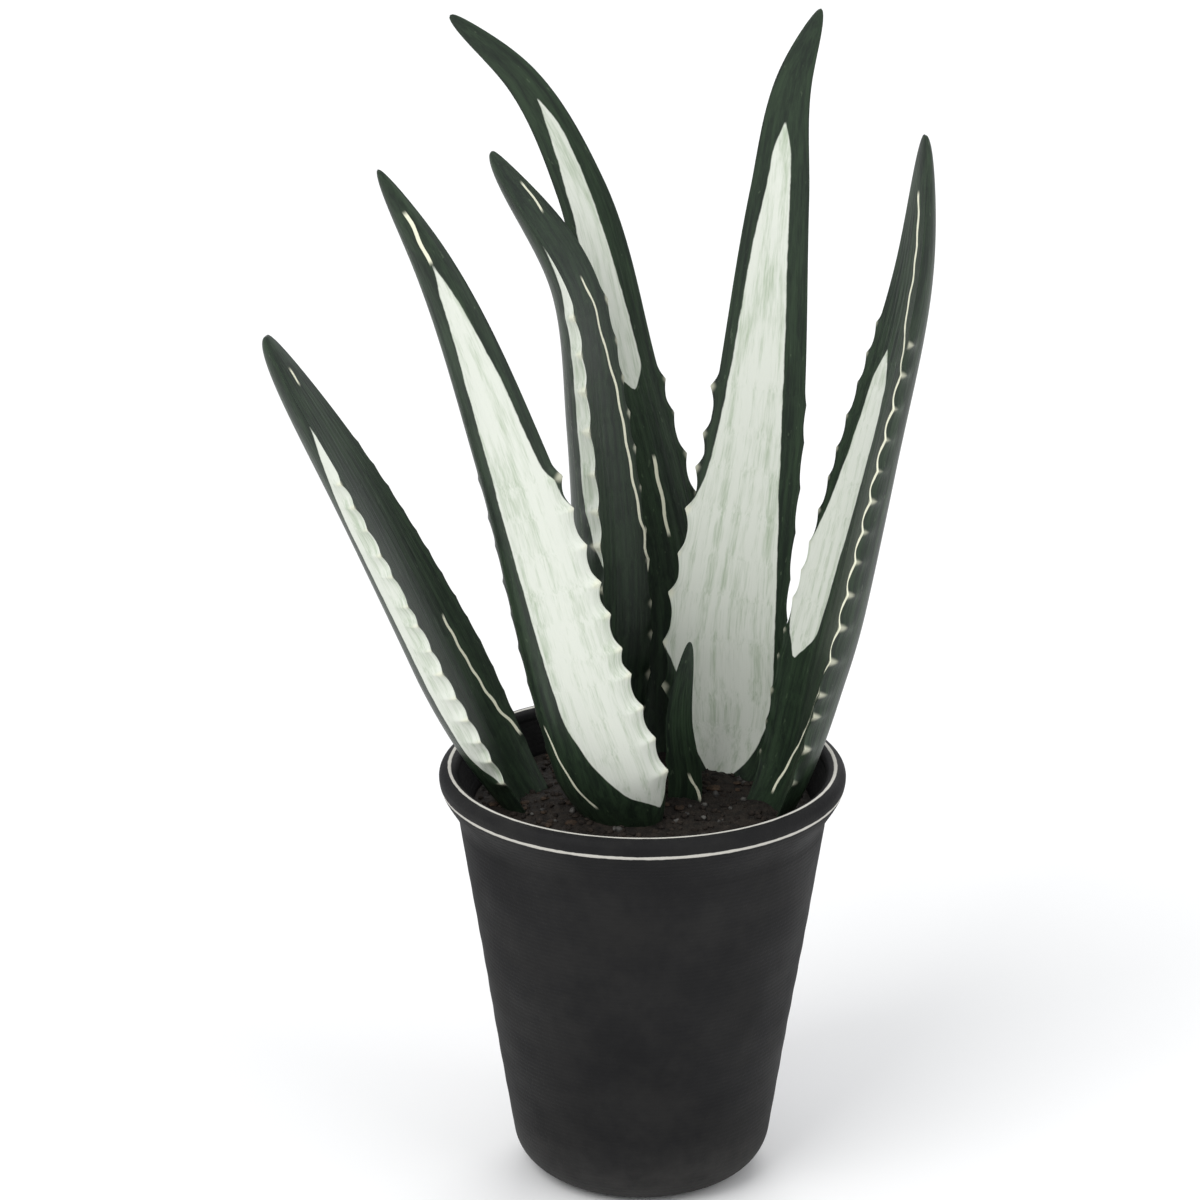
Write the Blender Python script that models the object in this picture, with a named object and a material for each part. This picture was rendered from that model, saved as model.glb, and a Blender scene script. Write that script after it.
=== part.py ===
"""Potted aloe: tapered pot with a rolled rim, soil, a short stem and seven toothed leaves.

Metres, +Z up. The origin is the centre of the pot's underside, which stands on the table.
The front of the plant is -Y and its left is -X.
"""
import math

import bmesh
import bpy
import numpy as np

# ---- driving dimensions -------------------------------------------------------------------
POT_HEIGHT = 0.149
RIM_RADIUS = 0.070          # the rolled rim at its widest
NECK_RADIUS = 0.0630        # the wall just under the rim
FOOT_RADIUS = 0.0450        # the wall just above the rounded bottom corner
CORNER_RADIUS = 0.016       # the rounded bottom corner
RIM_HEIGHT = 0.0205         # height of the rolled rim
MOUTH_RADIUS = 0.0632       # the inner edge of the rim
WALL = 0.0050
FLOOR = 0.0070
POT_SIDES = 56
FLARE_STEPS = 6             # straight pieces in the curve from the wall out to the rim

DRAIN_RADIUS = 0.0040
DRAIN_CIRCLE = 0.0150       # radius of the circle that the drain holes lie on
DRAIN_COUNT = 4

GAP = 0.00045               # clearance between pieces that touch
SOIL_TOP = POT_HEIGHT - 0.014   # soil level at the pot's wall
SOIL_RINGS = (0.72, 0.4)    # rings of the soil's surface, as parts of its radius
SOIL_MOUND = 0.0025         # how much the soil rises in the middle

STEM_RADIUS = 0.0070
STEM_BOTTOM = POT_HEIGHT - 0.071
STEM_TOP = POT_HEIGHT - 0.008
STEM_CENTRE = (0.003, 0.008)
STEM_SHOULDER = 0.004       # length over which the stem's ends are rounded

# ---- leaf section, as parts of the leaf's half width -----------------------------------------
SECTION_STEPS = 6           # faces across the upper side, and again across the back
EDGE_SHARPNESS = 0.62       # exponent of the back's outline: 0.5 is an ellipse, 1 a parabola
BASE_HALF_WIDTH = 0.0050    # where the leaf meets the stem
FIRST_TOOTH = 0.010         # height of the lowest tooth above the soil
CHANNEL_START = 0.25        # part of the leaf's length over which the channel deepens
TIP_CREST = 0.12            # how far the channel side swells near the tip, in half widths
BURIED_STATIONS = 5         # section rings below the first tooth
TIP_STATIONS = (0.35, 0.6, 0.8, 0.92, 0.985)

# Each leaf is a midrib through a few points, and the side that its channel faces.
#   path: points midway between the margins, stem end first; heights are above the rim
#   facing: the direction in plan that the channel looks towards, in degrees from +X
#   width: full width, margin to margin, that the taper starts from
#   taper: exponent of the taper, lower is blunter
#   flare: height above the soil where the leaf has widened from its foot to its full width
#   depth, channel: depth of the back and of the channel, in half widths
#   teeth: tooth height on the left and the right margin; pitch: distance between teeth
#   smooth: the end of the leaf without teeth, as a part of its length
LEAVES = {
    "leaf_left": dict(
        path=[(-0.0075, 0.007, -0.057), (-0.034, 0.001, -0.017), (-0.0605, -0.001, 0.038),
              (-0.0940, -0.006, 0.104), (-0.1255, -0.010, 0.157)],
        facing=-11, width=0.050, taper=0.42, flare=0.055, depth=0.92, channel=0.36,
        teeth=(0.0022, 0.0008), pitch=0.0095, smooth=0.20),
    "leaf_front": dict(
        path=[(0.000, -0.003, -0.042), (-0.007, -0.013, -0.011), (-0.020, -0.020, 0.033),
              (-0.044, -0.033, 0.123), (-0.069, -0.042, 0.192), (-0.086, -0.046, 0.224)],
        facing=62, width=0.047, taper=0.54, flare=0.022, depth=0.70, channel=0.22,
        teeth=(0.0026, 0.0012), pitch=0.0130, smooth=0.40),
    "leaf_back_left": dict(
        path=[(-0.001, 0.0182, -0.047), (-0.007, 0.023, -0.012), (-0.0050, 0.0275, 0.040),
              (-0.0110, 0.037, 0.110), (-0.0205, 0.0455, 0.158), (-0.0515, 0.050, 0.204)],
        facing=-22, width=0.052, taper=0.47, flare=0.035, depth=0.92, channel=0.36,
        teeth=(0.0026, 0.0026), pitch=0.0140, smooth=0.22),
    "leaf_back": dict(
        path=[(0.004, 0.018, -0.061), (0.009, 0.036, -0.015), (0.010, 0.053, 0.041),
              (-0.0065, 0.069, 0.121), (-0.0215, 0.076, 0.184), (-0.041, 0.0785, 0.221),
              (-0.066, 0.080, 0.244)],
        facing=-108, width=0.037, taper=0.45, flare=0.035, depth=0.66, channel=0.24,
        teeth=(0.0010, 0.0020), pitch=0.0140, smooth=0.42),
    "leaf_tall": dict(
        path=[(0.012, 0.014, -0.045), (0.0265, 0.020, -0.013), (0.0295, 0.024, 0.041),
              (0.0390, 0.031, 0.111), (0.0460, 0.038, 0.191), (0.0505, 0.041, 0.230),
              (0.0595, 0.042, 0.2555)],
        facing=-108, width=0.050, taper=0.54, flare=0.040, depth=0.60, channel=0.26,
        teeth=(0.0026, 0.0008), pitch=0.0150, smooth=0.42),
    "leaf_right": dict(
        path=[(0.0135, 0.005, -0.057), (0.040, -0.008, -0.015), (0.054, -0.003, 0.038),
              (0.0720, 0.008, 0.107), (0.0885, 0.015, 0.173), (0.0935, 0.018, 0.2185)],
        facing=-158, width=0.046, taper=0.47, flare=0.075, depth=0.98, channel=0.36,
        teeth=(0.0022, 0.0024), pitch=0.0110, smooth=0.22),
    "leaf_young": dict(
        path=[(0.0095, -0.001, -0.031), (0.0145, -0.003, -0.011), (0.0125, -0.004, 0.018),
              (0.016, -0.006, 0.047)],
        facing=-100, width=0.0145, taper=0.45, flare=0.012, depth=0.70, channel=0.20,
        teeth=(0.0008, 0.0008), pitch=0.0080, smooth=0.50),
}

# ---- colours: sRGB-like linear base colour, roughness -----------------------------------------
FINISHES = {
    "pot_finish": ((0.012, 0.012, 0.012), 0.70),
    "soil_finish": ((0.030, 0.022, 0.016), 0.95),
    "stem_finish": ((0.25, 0.22, 0.12), 0.80),
    "leaf_finish": ((0.28, 0.36, 0.22), 0.50),
}


def clear_scene():
    """Take out whatever the file opened with."""
    for obj in list(bpy.data.objects):
        bpy.data.objects.remove(obj, do_unlink=True)


def finish(name):
    """One Principled material for each finish, made the first time it is asked for."""
    if name in bpy.data.materials:
        return bpy.data.materials[name]
    colour, roughness = FINISHES[name]
    material = bpy.data.materials.new(name)
    material.use_nodes = True
    shader = material.node_tree.nodes["Principled BSDF"]
    shader.inputs["Base Color"].default_value = (*colour, 1.0)
    shader.inputs["Roughness"].default_value = roughness
    shader.inputs["Metallic"].default_value = 0.0
    return material


def add_object(name, bm, finish_name):
    """Turn a bmesh into a named object whose faces point outwards."""
    bmesh.ops.recalc_face_normals(bm, faces=bm.faces[:])
    mesh = bpy.data.meshes.new(name)
    bm.to_mesh(mesh)
    bm.free()
    mesh.shade_smooth()
    mesh.set_sharp_from_angle(angle=math.radians(40))
    obj = bpy.data.objects.new(name, mesh)
    obj.data.materials.append(finish(finish_name))
    bpy.context.scene.collection.objects.link(obj)
    return obj


def cut_with(obj, cutter):
    """Subtract a cutter, which stays as a hidden wire object."""
    cutter.hide_render = True
    cutter.display_type = "WIRE"
    cut = obj.modifiers.new("cut_" + cutter.name, "BOOLEAN")
    cut.operation = "DIFFERENCE"
    cut.solver = "EXACT"
    cut.object = cutter


# ---- turned pieces --------------------------------------------------------------------------
def turned(name, profile, sides, finish_name, centre=(0.0, 0.0)):
    """Turn a profile of (radius, height) points that starts and ends on the axis."""
    bm = bmesh.new()
    rings = []
    for radius, height in profile:
        if radius == 0.0:
            rings.append([bm.verts.new((centre[0], centre[1], height))])
            continue
        ring = []
        for side in range(sides):
            angle = 2.0 * math.pi * side / sides
            x = centre[0] + radius * math.cos(angle)
            y = centre[1] + radius * math.sin(angle)
            ring.append(bm.verts.new((x, y, height)))
        rings.append(ring)
    for lower, upper in zip(rings, rings[1:]):
        for side in range(sides):
            after = (side + 1) % sides
            if len(lower) == 1:
                bm.faces.new((lower[0], upper[side], upper[after]))
            elif len(upper) == 1:
                bm.faces.new((lower[side], lower[after], upper[0]))
            else:
                bm.faces.new((lower[side], lower[after], upper[after], upper[side]))
    return add_object(name, bm, finish_name)


def arc(centre, radius, start, end, steps):
    """Points on an arc in the profile's plane, angles in degrees from the outward direction."""
    points = []
    for step in range(steps + 1):
        angle = math.radians(start + (end - start) * step / steps)
        points.append((centre[0] + radius * math.cos(angle), centre[1] + radius * math.sin(angle)))
    return points


def wall_slope():
    """How much wider the pot's wall gets for each metre of height."""
    return (NECK_RADIUS - FOOT_RADIUS) / (POT_HEIGHT - RIM_HEIGHT - CORNER_RADIUS)


def inner_radius(height):
    """Radius of the pot's inner wall at a height."""
    return FOOT_RADIUS - WALL + wall_slope() * (height - CORNER_RADIUS)


def make_pot():
    """The pot: rounded foot, straight tapered wall, flared and rolled rim, drain holes."""
    neck_height = POT_HEIGHT - RIM_HEIGHT
    lean = math.degrees(math.atan(wall_slope()))
    corner = (FOOT_RADIUS - CORNER_RADIUS, CORNER_RADIUS)
    profile = [(0.0, 0.0)]
    profile += arc(corner, CORNER_RADIUS, -90.0, -lean, 6)
    profile.append((NECK_RADIUS, neck_height))
    roll = (RIM_RADIUS - MOUTH_RADIUS) / 2.0
    roll_height = POT_HEIGHT - roll
    for step in range(1, FLARE_STEPS):
        part = step / FLARE_STEPS
        rise = 0.5 - 0.5 * math.cos(math.pi * part)
        radius = NECK_RADIUS + (RIM_RADIUS - NECK_RADIUS) * rise
        profile.append((radius, neck_height + (roll_height - neck_height) * part))
    profile += arc((RIM_RADIUS - roll, roll_height), roll, 0.0, 180.0, 8)
    profile.append((inner_radius(SOIL_TOP), SOIL_TOP))
    inner_corner = CORNER_RADIUS - WALL
    profile += arc((FOOT_RADIUS - CORNER_RADIUS, FLOOR + inner_corner), inner_corner, -lean, -90.0, 4)
    profile.append((0.0, FLOOR))
    pot = turned("pot", profile, POT_SIDES, "pot_finish")
    for number in range(DRAIN_COUNT):
        angle = 2.0 * math.pi * (number + 0.5) / DRAIN_COUNT
        place = (DRAIN_CIRCLE * math.cos(angle), DRAIN_CIRCLE * math.sin(angle))
        hole = [(0.0, -FLOOR), (DRAIN_RADIUS, -FLOOR), (DRAIN_RADIUS, 2 * FLOOR), (0.0, 2 * FLOOR)]
        cut_with(pot, turned("drain_cutter_%d" % (number + 1), hole, 16, "pot_finish", place))
    return pot


# ---- leaves ---------------------------------------------------------------------------------
def smooth_step(value):
    """0 below 0, 1 above 1, and an even S between them."""
    value = np.clip(value, 0.0, 1.0)
    return value * value * (3.0 - 2.0 * value)


def midrib(leaf, count=400):
    """A smooth curve through the leaf's points, resampled to even steps of length."""
    points = np.array(leaf["path"]) + (0.0, 0.0, POT_HEIGHT)
    knots = np.concatenate([[0.0], np.cumsum(np.linalg.norm(np.diff(points, axis=0), axis=1))])
    slopes = np.gradient(points, knots, axis=0)
    where = np.linspace(0.0, knots[-1], count)
    index = np.clip(np.searchsorted(knots, where, side="right") - 1, 0, len(knots) - 2)
    span = (knots[index + 1] - knots[index])[:, None]
    part = (where - knots[index])[:, None] / span
    curve = ((1 + 2 * part) * (1 - part) ** 2 * points[index]
             + part * (1 - part) ** 2 * span * slopes[index]
             + part ** 2 * (3 - 2 * part) * points[index + 1]
             + part ** 2 * (part - 1) * span * slopes[index + 1])
    length = np.concatenate([[0.0], np.cumsum(np.linalg.norm(np.diff(curve, axis=0), axis=1))])
    even = np.linspace(0.0, length[-1], count)
    curve = np.stack([np.interp(even, length, curve[:, axis]) for axis in range(3)], axis=1)
    return curve, length[-1]


def leaf_frames(leaf, stations):
    """Place, direction to the right margin, and channel direction at each station."""
    curve = midrib(leaf)[0]
    along = np.linspace(0.0, 1.0, len(curve))
    tangent = np.gradient(curve, axis=0)
    turn = math.radians(leaf["facing"])
    place = np.stack([np.interp(stations, along, curve[:, axis]) for axis in range(3)], axis=1)
    ahead = np.stack([np.interp(stations, along, tangent[:, axis]) for axis in range(3)], axis=1)
    ahead /= np.linalg.norm(ahead, axis=1, keepdims=True)
    plan = np.array((math.cos(turn), math.sin(turn), 0.0))
    facing = plan - ahead * np.sum(plan * ahead, axis=1, keepdims=True)
    facing /= np.linalg.norm(facing, axis=1, keepdims=True)
    return place, np.cross(ahead, facing), facing


def soil_station(leaf, height):
    """How far along the leaf the midrib passes a height, as a part of its length."""
    curve = midrib(leaf)[0]
    return float(np.argmax(curve[:, 2] > height)) / (len(curve) - 1)


def half_width(leaf, stations):
    """Half of the leaf's width: a blunt taper to the tip that narrows again into the stem."""
    taper = leaf["width"] / 2.0 * (1.0 - stations) ** leaf["taper"]
    buried = smooth_step(stations / soil_station(leaf, SOIL_TOP + leaf["flare"]))
    narrow = min(1.0, BASE_HALF_WIDTH / (leaf["width"] / 2.0))
    return taper * (narrow + (1.0 - narrow) * buried)


def leaf_stations(leaf):
    """Stations: a few in the soil, a valley and a point for each tooth, a few on the tip."""
    length = midrib(leaf)[1]
    first = soil_station(leaf, SOIL_TOP + FIRST_TOOTH)
    last = 1.0 - leaf["smooth"]
    teeth = max(1, round((last - first) * length / leaf["pitch"]))
    buried = np.linspace(0.0, first, BURIED_STATIONS + 1)[:-1]
    toothed = np.linspace(first, last, 2 * teeth + 1)
    tip = last + leaf["smooth"] * np.array(TIP_STATIONS)
    height = np.zeros(len(buried) + len(toothed) + len(tip))
    height[len(buried) + 1:len(buried) + len(toothed):2] = 1.0
    return np.concatenate([buried, toothed, tip]), height


def leaf_rings(leaf, stations, tooth):
    """Closed section rings: the channel from left margin to right margin, then the back."""
    place, right, facing = leaf_frames(leaf, stations)
    half = half_width(leaf, stations)[:, None]
    across = -np.cos(np.pi * np.arange(SECTION_STEPS + 1) / SECTION_STEPS)
    deepening = smooth_step(stations / CHANNEL_START)[:, None]
    hollow = leaf["channel"] * deepening * (1.0 - stations[:, None] ** 2)
    channel = -half * (hollow - TIP_CREST * stations[:, None] ** 2) * (1.0 - across ** 2)
    back = -half * leaf["depth"] * (1.0 - across ** 2) ** EDGE_SHARPNESS
    sideways = half * across
    sideways[:, 0] -= leaf["teeth"][0] * tooth
    sideways[:, -1] += leaf["teeth"][1] * tooth
    sideways = np.concatenate([sideways, (half * across)[:, -2:0:-1]], axis=1)
    outward = np.concatenate([channel, back[:, -2:0:-1]], axis=1)
    return (place[:, None, :] + right[:, None, :] * sideways[:, :, None]
            + facing[:, None, :] * outward[:, :, None])


def loft(rings, tip=None):
    """Join section rings into one closed body, with a point or a flat cap at the end."""
    bm = bmesh.new()
    rows = [[bm.verts.new(point) for point in ring] for ring in rings]
    count = len(rows[0])
    for lower, upper in zip(rows, rows[1:]):
        for side in range(count):
            after = (side + 1) % count
            bm.faces.new((lower[side], lower[after], upper[after], upper[side]))
    bm.faces.new(rows[0])
    if tip is None:
        bm.faces.new(rows[-1])
    else:
        point = bm.verts.new(tip)
        for side in range(count):
            bm.faces.new((rows[-1][side], rows[-1][(side + 1) % count], point))
    return bm


def make_leaf(name, leaf):
    """One whole leaf, from its foot in the soil to its tip."""
    stations, tooth = leaf_stations(leaf)
    rings = leaf_rings(leaf, stations, tooth)
    return add_object(name, loft(rings, midrib(leaf)[0][-1]), "leaf_finish")


def make_leaf_sleeve(name, leaf):
    """The buried part of a leaf, swollen by the clearance, to cut its place in the soil."""
    stations, tooth = leaf_stations(leaf)
    stations = stations[:BURIED_STATIONS + 1]
    bm = loft(leaf_rings(leaf, stations, np.zeros(len(stations))))
    bmesh.ops.recalc_face_normals(bm, faces=bm.faces[:])
    bm.normal_update()
    for vert in bm.verts:
        vert.co += vert.normal * GAP * vert.calc_shell_factor()
    return add_object("socket_cutter_" + name, bm, "leaf_finish")


# ---- stem and soil --------------------------------------------------------------------------
def stem_profile(grow):
    """Profile of the short stem, made larger by grow: a round-ended spindle."""
    radius = STEM_RADIUS + grow
    bottom = STEM_BOTTOM - grow
    top = STEM_TOP + grow
    return [(0.0, bottom), (radius * 0.45, bottom), (radius * 0.8, bottom + STEM_SHOULDER),
            (radius, bottom + 3 * STEM_SHOULDER), (radius, top - 2 * STEM_SHOULDER),
            (radius * 0.75, top - STEM_SHOULDER * 0.5), (radius * 0.4, top), (0.0, top)]


def make_soil():
    """The soil: fills the pot to just under the rim, with a place for the stem and each leaf."""
    inner_corner = CORNER_RADIUS - WALL
    corner = (FOOT_RADIUS - CORNER_RADIUS, FLOOR + inner_corner)
    lean = math.degrees(math.atan(wall_slope()))
    profile = [(0.0, FLOOR + GAP)]
    profile += arc(corner, inner_corner - GAP, -90.0, -lean, 4)
    profile.append((inner_radius(SOIL_TOP) - GAP, SOIL_TOP))
    for part in SOIL_RINGS:
        profile.append((inner_radius(SOIL_TOP) * part, SOIL_TOP + SOIL_MOUND * (1.0 - part ** 2)))
    profile.append((0.0, SOIL_TOP + SOIL_MOUND))
    soil = turned("soil", profile, POT_SIDES, "soil_finish")
    stem_cutter = turned("stem_cutter", stem_profile(GAP), 20, "stem_finish", STEM_CENTRE)
    cut_with(soil, stem_cutter)
    for name, leaf in LEAVES.items():
        cut_with(soil, make_leaf_sleeve(name, leaf))
    return soil


def main():
    clear_scene()
    make_pot()
    make_soil()
    turned("stem", stem_profile(0.0), 20, "stem_finish", STEM_CENTRE)
    for name, leaf in LEAVES.items():
        make_leaf(name, leaf)


main()
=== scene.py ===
# %% [markdown]
# # A young aloe in a matt black pot
#
# The solid model of the plant is loaded first and never changed. It says where everything is:
# the pot, the soil, the short stem and seven leaves. Each of those solids is coarse, so this
# lesson makes a fine surface for each one, in the same place, and gives it its finish.

# %% The solid model
import math

import bmesh
import bpy
import numpy as np
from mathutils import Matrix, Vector


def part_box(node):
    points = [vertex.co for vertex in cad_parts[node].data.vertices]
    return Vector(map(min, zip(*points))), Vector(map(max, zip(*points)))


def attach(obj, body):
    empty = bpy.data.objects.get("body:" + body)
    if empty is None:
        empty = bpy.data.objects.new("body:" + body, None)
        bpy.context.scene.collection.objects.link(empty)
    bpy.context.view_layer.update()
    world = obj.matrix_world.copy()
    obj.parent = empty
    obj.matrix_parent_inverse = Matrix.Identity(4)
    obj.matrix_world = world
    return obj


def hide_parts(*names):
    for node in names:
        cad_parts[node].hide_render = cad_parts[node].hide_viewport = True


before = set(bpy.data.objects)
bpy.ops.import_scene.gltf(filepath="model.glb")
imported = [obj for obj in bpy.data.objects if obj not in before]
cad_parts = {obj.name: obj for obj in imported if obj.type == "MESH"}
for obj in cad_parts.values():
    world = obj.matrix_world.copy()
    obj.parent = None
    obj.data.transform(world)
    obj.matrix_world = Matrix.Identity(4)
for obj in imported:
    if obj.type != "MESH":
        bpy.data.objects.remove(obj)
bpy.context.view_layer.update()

_, pot_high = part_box("pot")
RIM = pot_high.z                       # height of the rim above the table
RIM_RADIUS = pot_high.x                # the rolled rim at its widest

# %% [markdown]
# ## Surfaces from grids
#
# Every piece here is a sheet of points in rows and columns that closes on itself: the columns
# run round the piece, the rows run along it, and one point at each end shuts it. A closed
# surface encloses a volume, and the sign of that volume tells whether its faces look outwards.


# %% A closed surface from a grid of points
def grid_faces(rows, columns):
    """Quads between neighbouring rows, the last column joined to the first."""
    row = np.arange(rows - 1)[:, None]
    column = np.arange(columns)[None, :]
    after = (column + 1) % columns
    corners = (row * columns + column, row * columns + after,
               (row + 1) * columns + after, (row + 1) * columns + column)
    return np.stack(corners, axis=-1).reshape(-1, 4)


def end_faces(rows, columns):
    """Triangles from the first row to the point before it and from the last to the one after."""
    column = np.arange(columns)
    after = (column + 1) % columns
    first, last = rows * columns, rows * columns + 1
    start = np.stack([np.full(columns, first), after, column], axis=-1)
    end = np.stack([np.full(columns, last), (rows - 1) * columns + column,
                    (rows - 1) * columns + after], axis=-1)
    return np.concatenate([start, end])


def signed_volume(points, triangles):
    """Sum over the faces of the corner triple product over six: positive if they look outwards."""
    a, b, c = (points[triangles[:, corner]] for corner in range(3))
    return float(np.sum(np.cross(a, b) * c) / 6.0)


def closed_surface(name, grid, start, end):
    """Object from a grid of shape (rows, columns, 3) and the two points that shut its ends."""
    rows, columns = grid.shape[:2]
    points = np.concatenate([grid.reshape(-1, 3), [start], [end]])
    quads, caps = grid_faces(rows, columns), end_faces(rows, columns)
    triangles = np.concatenate([quads[:, :3], quads[:, [0, 2, 3]], caps])
    volume = signed_volume(points, triangles)
    if volume < 0.0:
        quads, caps = quads[:, ::-1], caps[:, ::-1]
    mesh = bpy.data.meshes.new(name)
    mesh.from_pydata(points.tolist(), [], quads.tolist() + caps.tolist())
    mesh.shade_smooth()
    piece = bpy.data.objects.new(name, mesh)
    bpy.context.scene.collection.objects.link(piece)
    print(name, "has", len(triangles), "triangles and", round(abs(volume) * 1e6, 1), "cm3")
    return piece


# %% [markdown]
# ## The pot
#
# The pot is a thrown or pressed clay pot: a straight tapered wall, a large round corner at the
# foot, and a rim that flares and rolls over. It is a turned shape, so one profile of radius and
# height is enough, carried round the axis. The profile is put together from straight runs and
# arcs, which is how a potter's template is drawn.

# %% The pot's profile
FULL_TURN = 2.0 * np.pi
NECK_RADIUS = 0.0630        # the wall just under the rim
FOOT_RADIUS = 0.0450        # the wall just above the rounded bottom corner
CORNER_RADIUS = 0.016
RIM_HEIGHT = 0.0205
MOUTH_RADIUS = 0.0632       # inner edge of the rim
WALL = 0.0050
FLOOR = 0.0070
SOIL_TOP = RIM - 0.014      # soil level at the wall
ROLL = (RIM_RADIUS - MOUTH_RADIUS) / 2.0
NECK = RIM - RIM_HEIGHT
SLOPE = (NECK_RADIUS - FOOT_RADIUS) / (NECK - CORNER_RADIUS)
LEAN = math.degrees(math.atan(SLOPE))   # the wall's lean from upright, in degrees
CENTRE = 0.001              # radius of the small ring that a flat bottom closes on


def run(start, end, steps):
    """A straight run of (radius, height) points, without its first point."""
    part = np.linspace(0.0, 1.0, steps + 1)[1:, None]
    return np.array(start) + part * (np.array(end) - np.array(start))


def arc(centre, radius, start, end, steps):
    """Points on an arc, with angles in degrees from the outward direction."""
    angle = np.radians(np.linspace(start, end, steps + 1))
    return np.array(centre) + radius * np.stack([np.cos(angle), np.sin(angle)], axis=1)


def inner_radius(height):
    """Radius of the inner wall at a height."""
    return FOOT_RADIUS - WALL + SLOPE * (height - CORNER_RADIUS)


def inner_corner(gap):
    """Arc of the rounded corner inside the pot, from the floor up to the wall, less a gap."""
    radius = CORNER_RADIUS - WALL
    centre = (FOOT_RADIUS - CORNER_RADIUS, FLOOR + radius)
    return arc(centre, radius - gap, -90.0, -LEAN, 10)


def pot_profile():
    """Underside, round corner, wall, flare as a half cosine wave, rolled rim, inner wall, floor."""
    corner = arc((FOOT_RADIUS - CORNER_RADIUS, CORNER_RADIUS), CORNER_RADIUS, -90.0, -LEAN, 24)
    underside = run((CENTRE, 0.0), corner[0], 10)[:-1]
    wall = run(corner[-1], (NECK_RADIUS, NECK), 70)
    part = np.linspace(0.0, 1.0, 33)[1:-1]
    flare = NECK_RADIUS + (RIM_RADIUS - NECK_RADIUS) * (0.5 - 0.5 * np.cos(np.pi * part))
    flare = np.stack([flare, NECK + (RIM - ROLL - NECK) * part], axis=1)
    roll = arc((RIM_RADIUS - ROLL, RIM - ROLL), ROLL, 0.0, 180.0, 36)
    shoulder = run(roll[-1], (inner_radius(SOIL_TOP), SOIL_TOP), 16)
    turn = inner_corner(0.0)[::-1]
    inside = run(shoulder[-1], turn[0], 24)[:-1]
    floor = run(turn[-1], (CENTRE, FLOOR), 8)
    return np.concatenate([underside, corner, wall, flare, roll, shoulder, inside, turn, floor])


def turned(profile, columns):
    """Carry a profile round the vertical axis: each column is the profile at another angle."""
    angle = FULL_TURN * np.arange(columns) / columns
    radius, height = profile[:, 0][:, None], profile[:, 1][:, None]
    return np.stack([radius * np.cos(angle), radius * np.sin(angle),
                     height + 0.0 * angle], axis=-1)


# %% [markdown]
# A hand-made wall is never quite true. A tenth or two of a millimetre of waviness, strongest
# half way up the wall and nothing at the foot and the rim, is enough for the light to catch.

# %% The pot
POT_COLUMNS = 256
WALL_WAVE = 0.00012         # height of the waves in the wall
pot_grid = turned(pot_profile(), POT_COLUMNS)
bearing = np.arctan2(pot_grid[..., 1], pot_grid[..., 0])
wall_part = np.clip(pot_grid[..., 2] / NECK, 0.0, 1.0)
waviness = WALL_WAVE * np.sin(np.pi * wall_part) * (
    np.cos(3.0 * bearing + 9.0 * wall_part) + 0.6 * np.sin(70.0 * wall_part + bearing))
radial = np.stack([np.cos(bearing), np.sin(bearing), np.zeros_like(bearing)], axis=-1)
pot_grid = pot_grid + radial * waviness[..., None]
pot = closed_surface("clay_pot", pot_grid, (0.0, 0.0, 0.0), (0.0, 0.0, FLOOR))

# %% [markdown]
# Four drain holes are bored through the floor while the clay is leather-hard. Each is a short
# round cutter with slightly soft sides, taken away from the pot.

# %% Drain holes
DRAIN_RADIUS = 0.0040
DRAIN_CIRCLE = 0.0150
DRAIN_COUNT = 4
DRAIN_WAIST = 0.04          # how much narrower a hole is half way through, as a part of it
CLEARANCE = 0.002           # how far the cutter stands out of the floor on both sides


def bore(piece, x, y, radius, low, high):
    """Subtract a round, slightly waisted hole from a piece and keep the result in its mesh."""
    levels = np.linspace(low, high, 9)
    waist = radius * (1.0 + DRAIN_WAIST * np.cos(FULL_TURN * (levels - low) / (high - low)))
    plug_grid = turned(np.stack([waist, levels], axis=1), 48) + np.array((x, y, 0.0))
    plug = closed_surface("drain_plug", plug_grid, (x, y, low), (x, y, high))
    cut = piece.modifiers.new("drain", "BOOLEAN")
    cut.object = plug
    cut.operation = "DIFFERENCE"
    shaped = piece.evaluated_get(bpy.context.evaluated_depsgraph_get())
    mesh = bpy.data.meshes.new_from_object(shaped)
    piece.modifiers.remove(cut)
    piece.data = mesh
    bpy.data.objects.remove(plug)


for number in range(DRAIN_COUNT):
    turn = FULL_TURN * (number + 0.5) / DRAIN_COUNT
    bore(pot, DRAIN_CIRCLE * math.cos(turn), DRAIN_CIRCLE * math.sin(turn),
         DRAIN_RADIUS, -CLEARANCE, FLOOR + CLEARANCE)
pot.data.name = "clay_pot"
print("pot with drain holes has", len(pot.data.polygons), "faces")

# %% [markdown]
# ## The leaves
#
# An aloe leaf is a thick, fleshy blade. Its inner face is hollowed into a channel, its back is
# round, and soft pale teeth stand along both margins. Each leaf is one midrib curve with a
# cross-section carried along it. The table gives the same midribs as the solid model:
#
# - path: points of the midrib, in metres, with heights above the rim
# - facing: the direction in plan that the channel looks in, in degrees
# - width: full width; taper: power of its narrowing; flare: height above the soil at which the
#   narrow base has widened fully
# - depth and channel: how far the back bulges and the channel dips, in half widths
# - teeth: height of the teeth on the left and the right margin; pitch: their spacing
# - smooth: part of the leaf at the tip that bears no teeth

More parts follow.
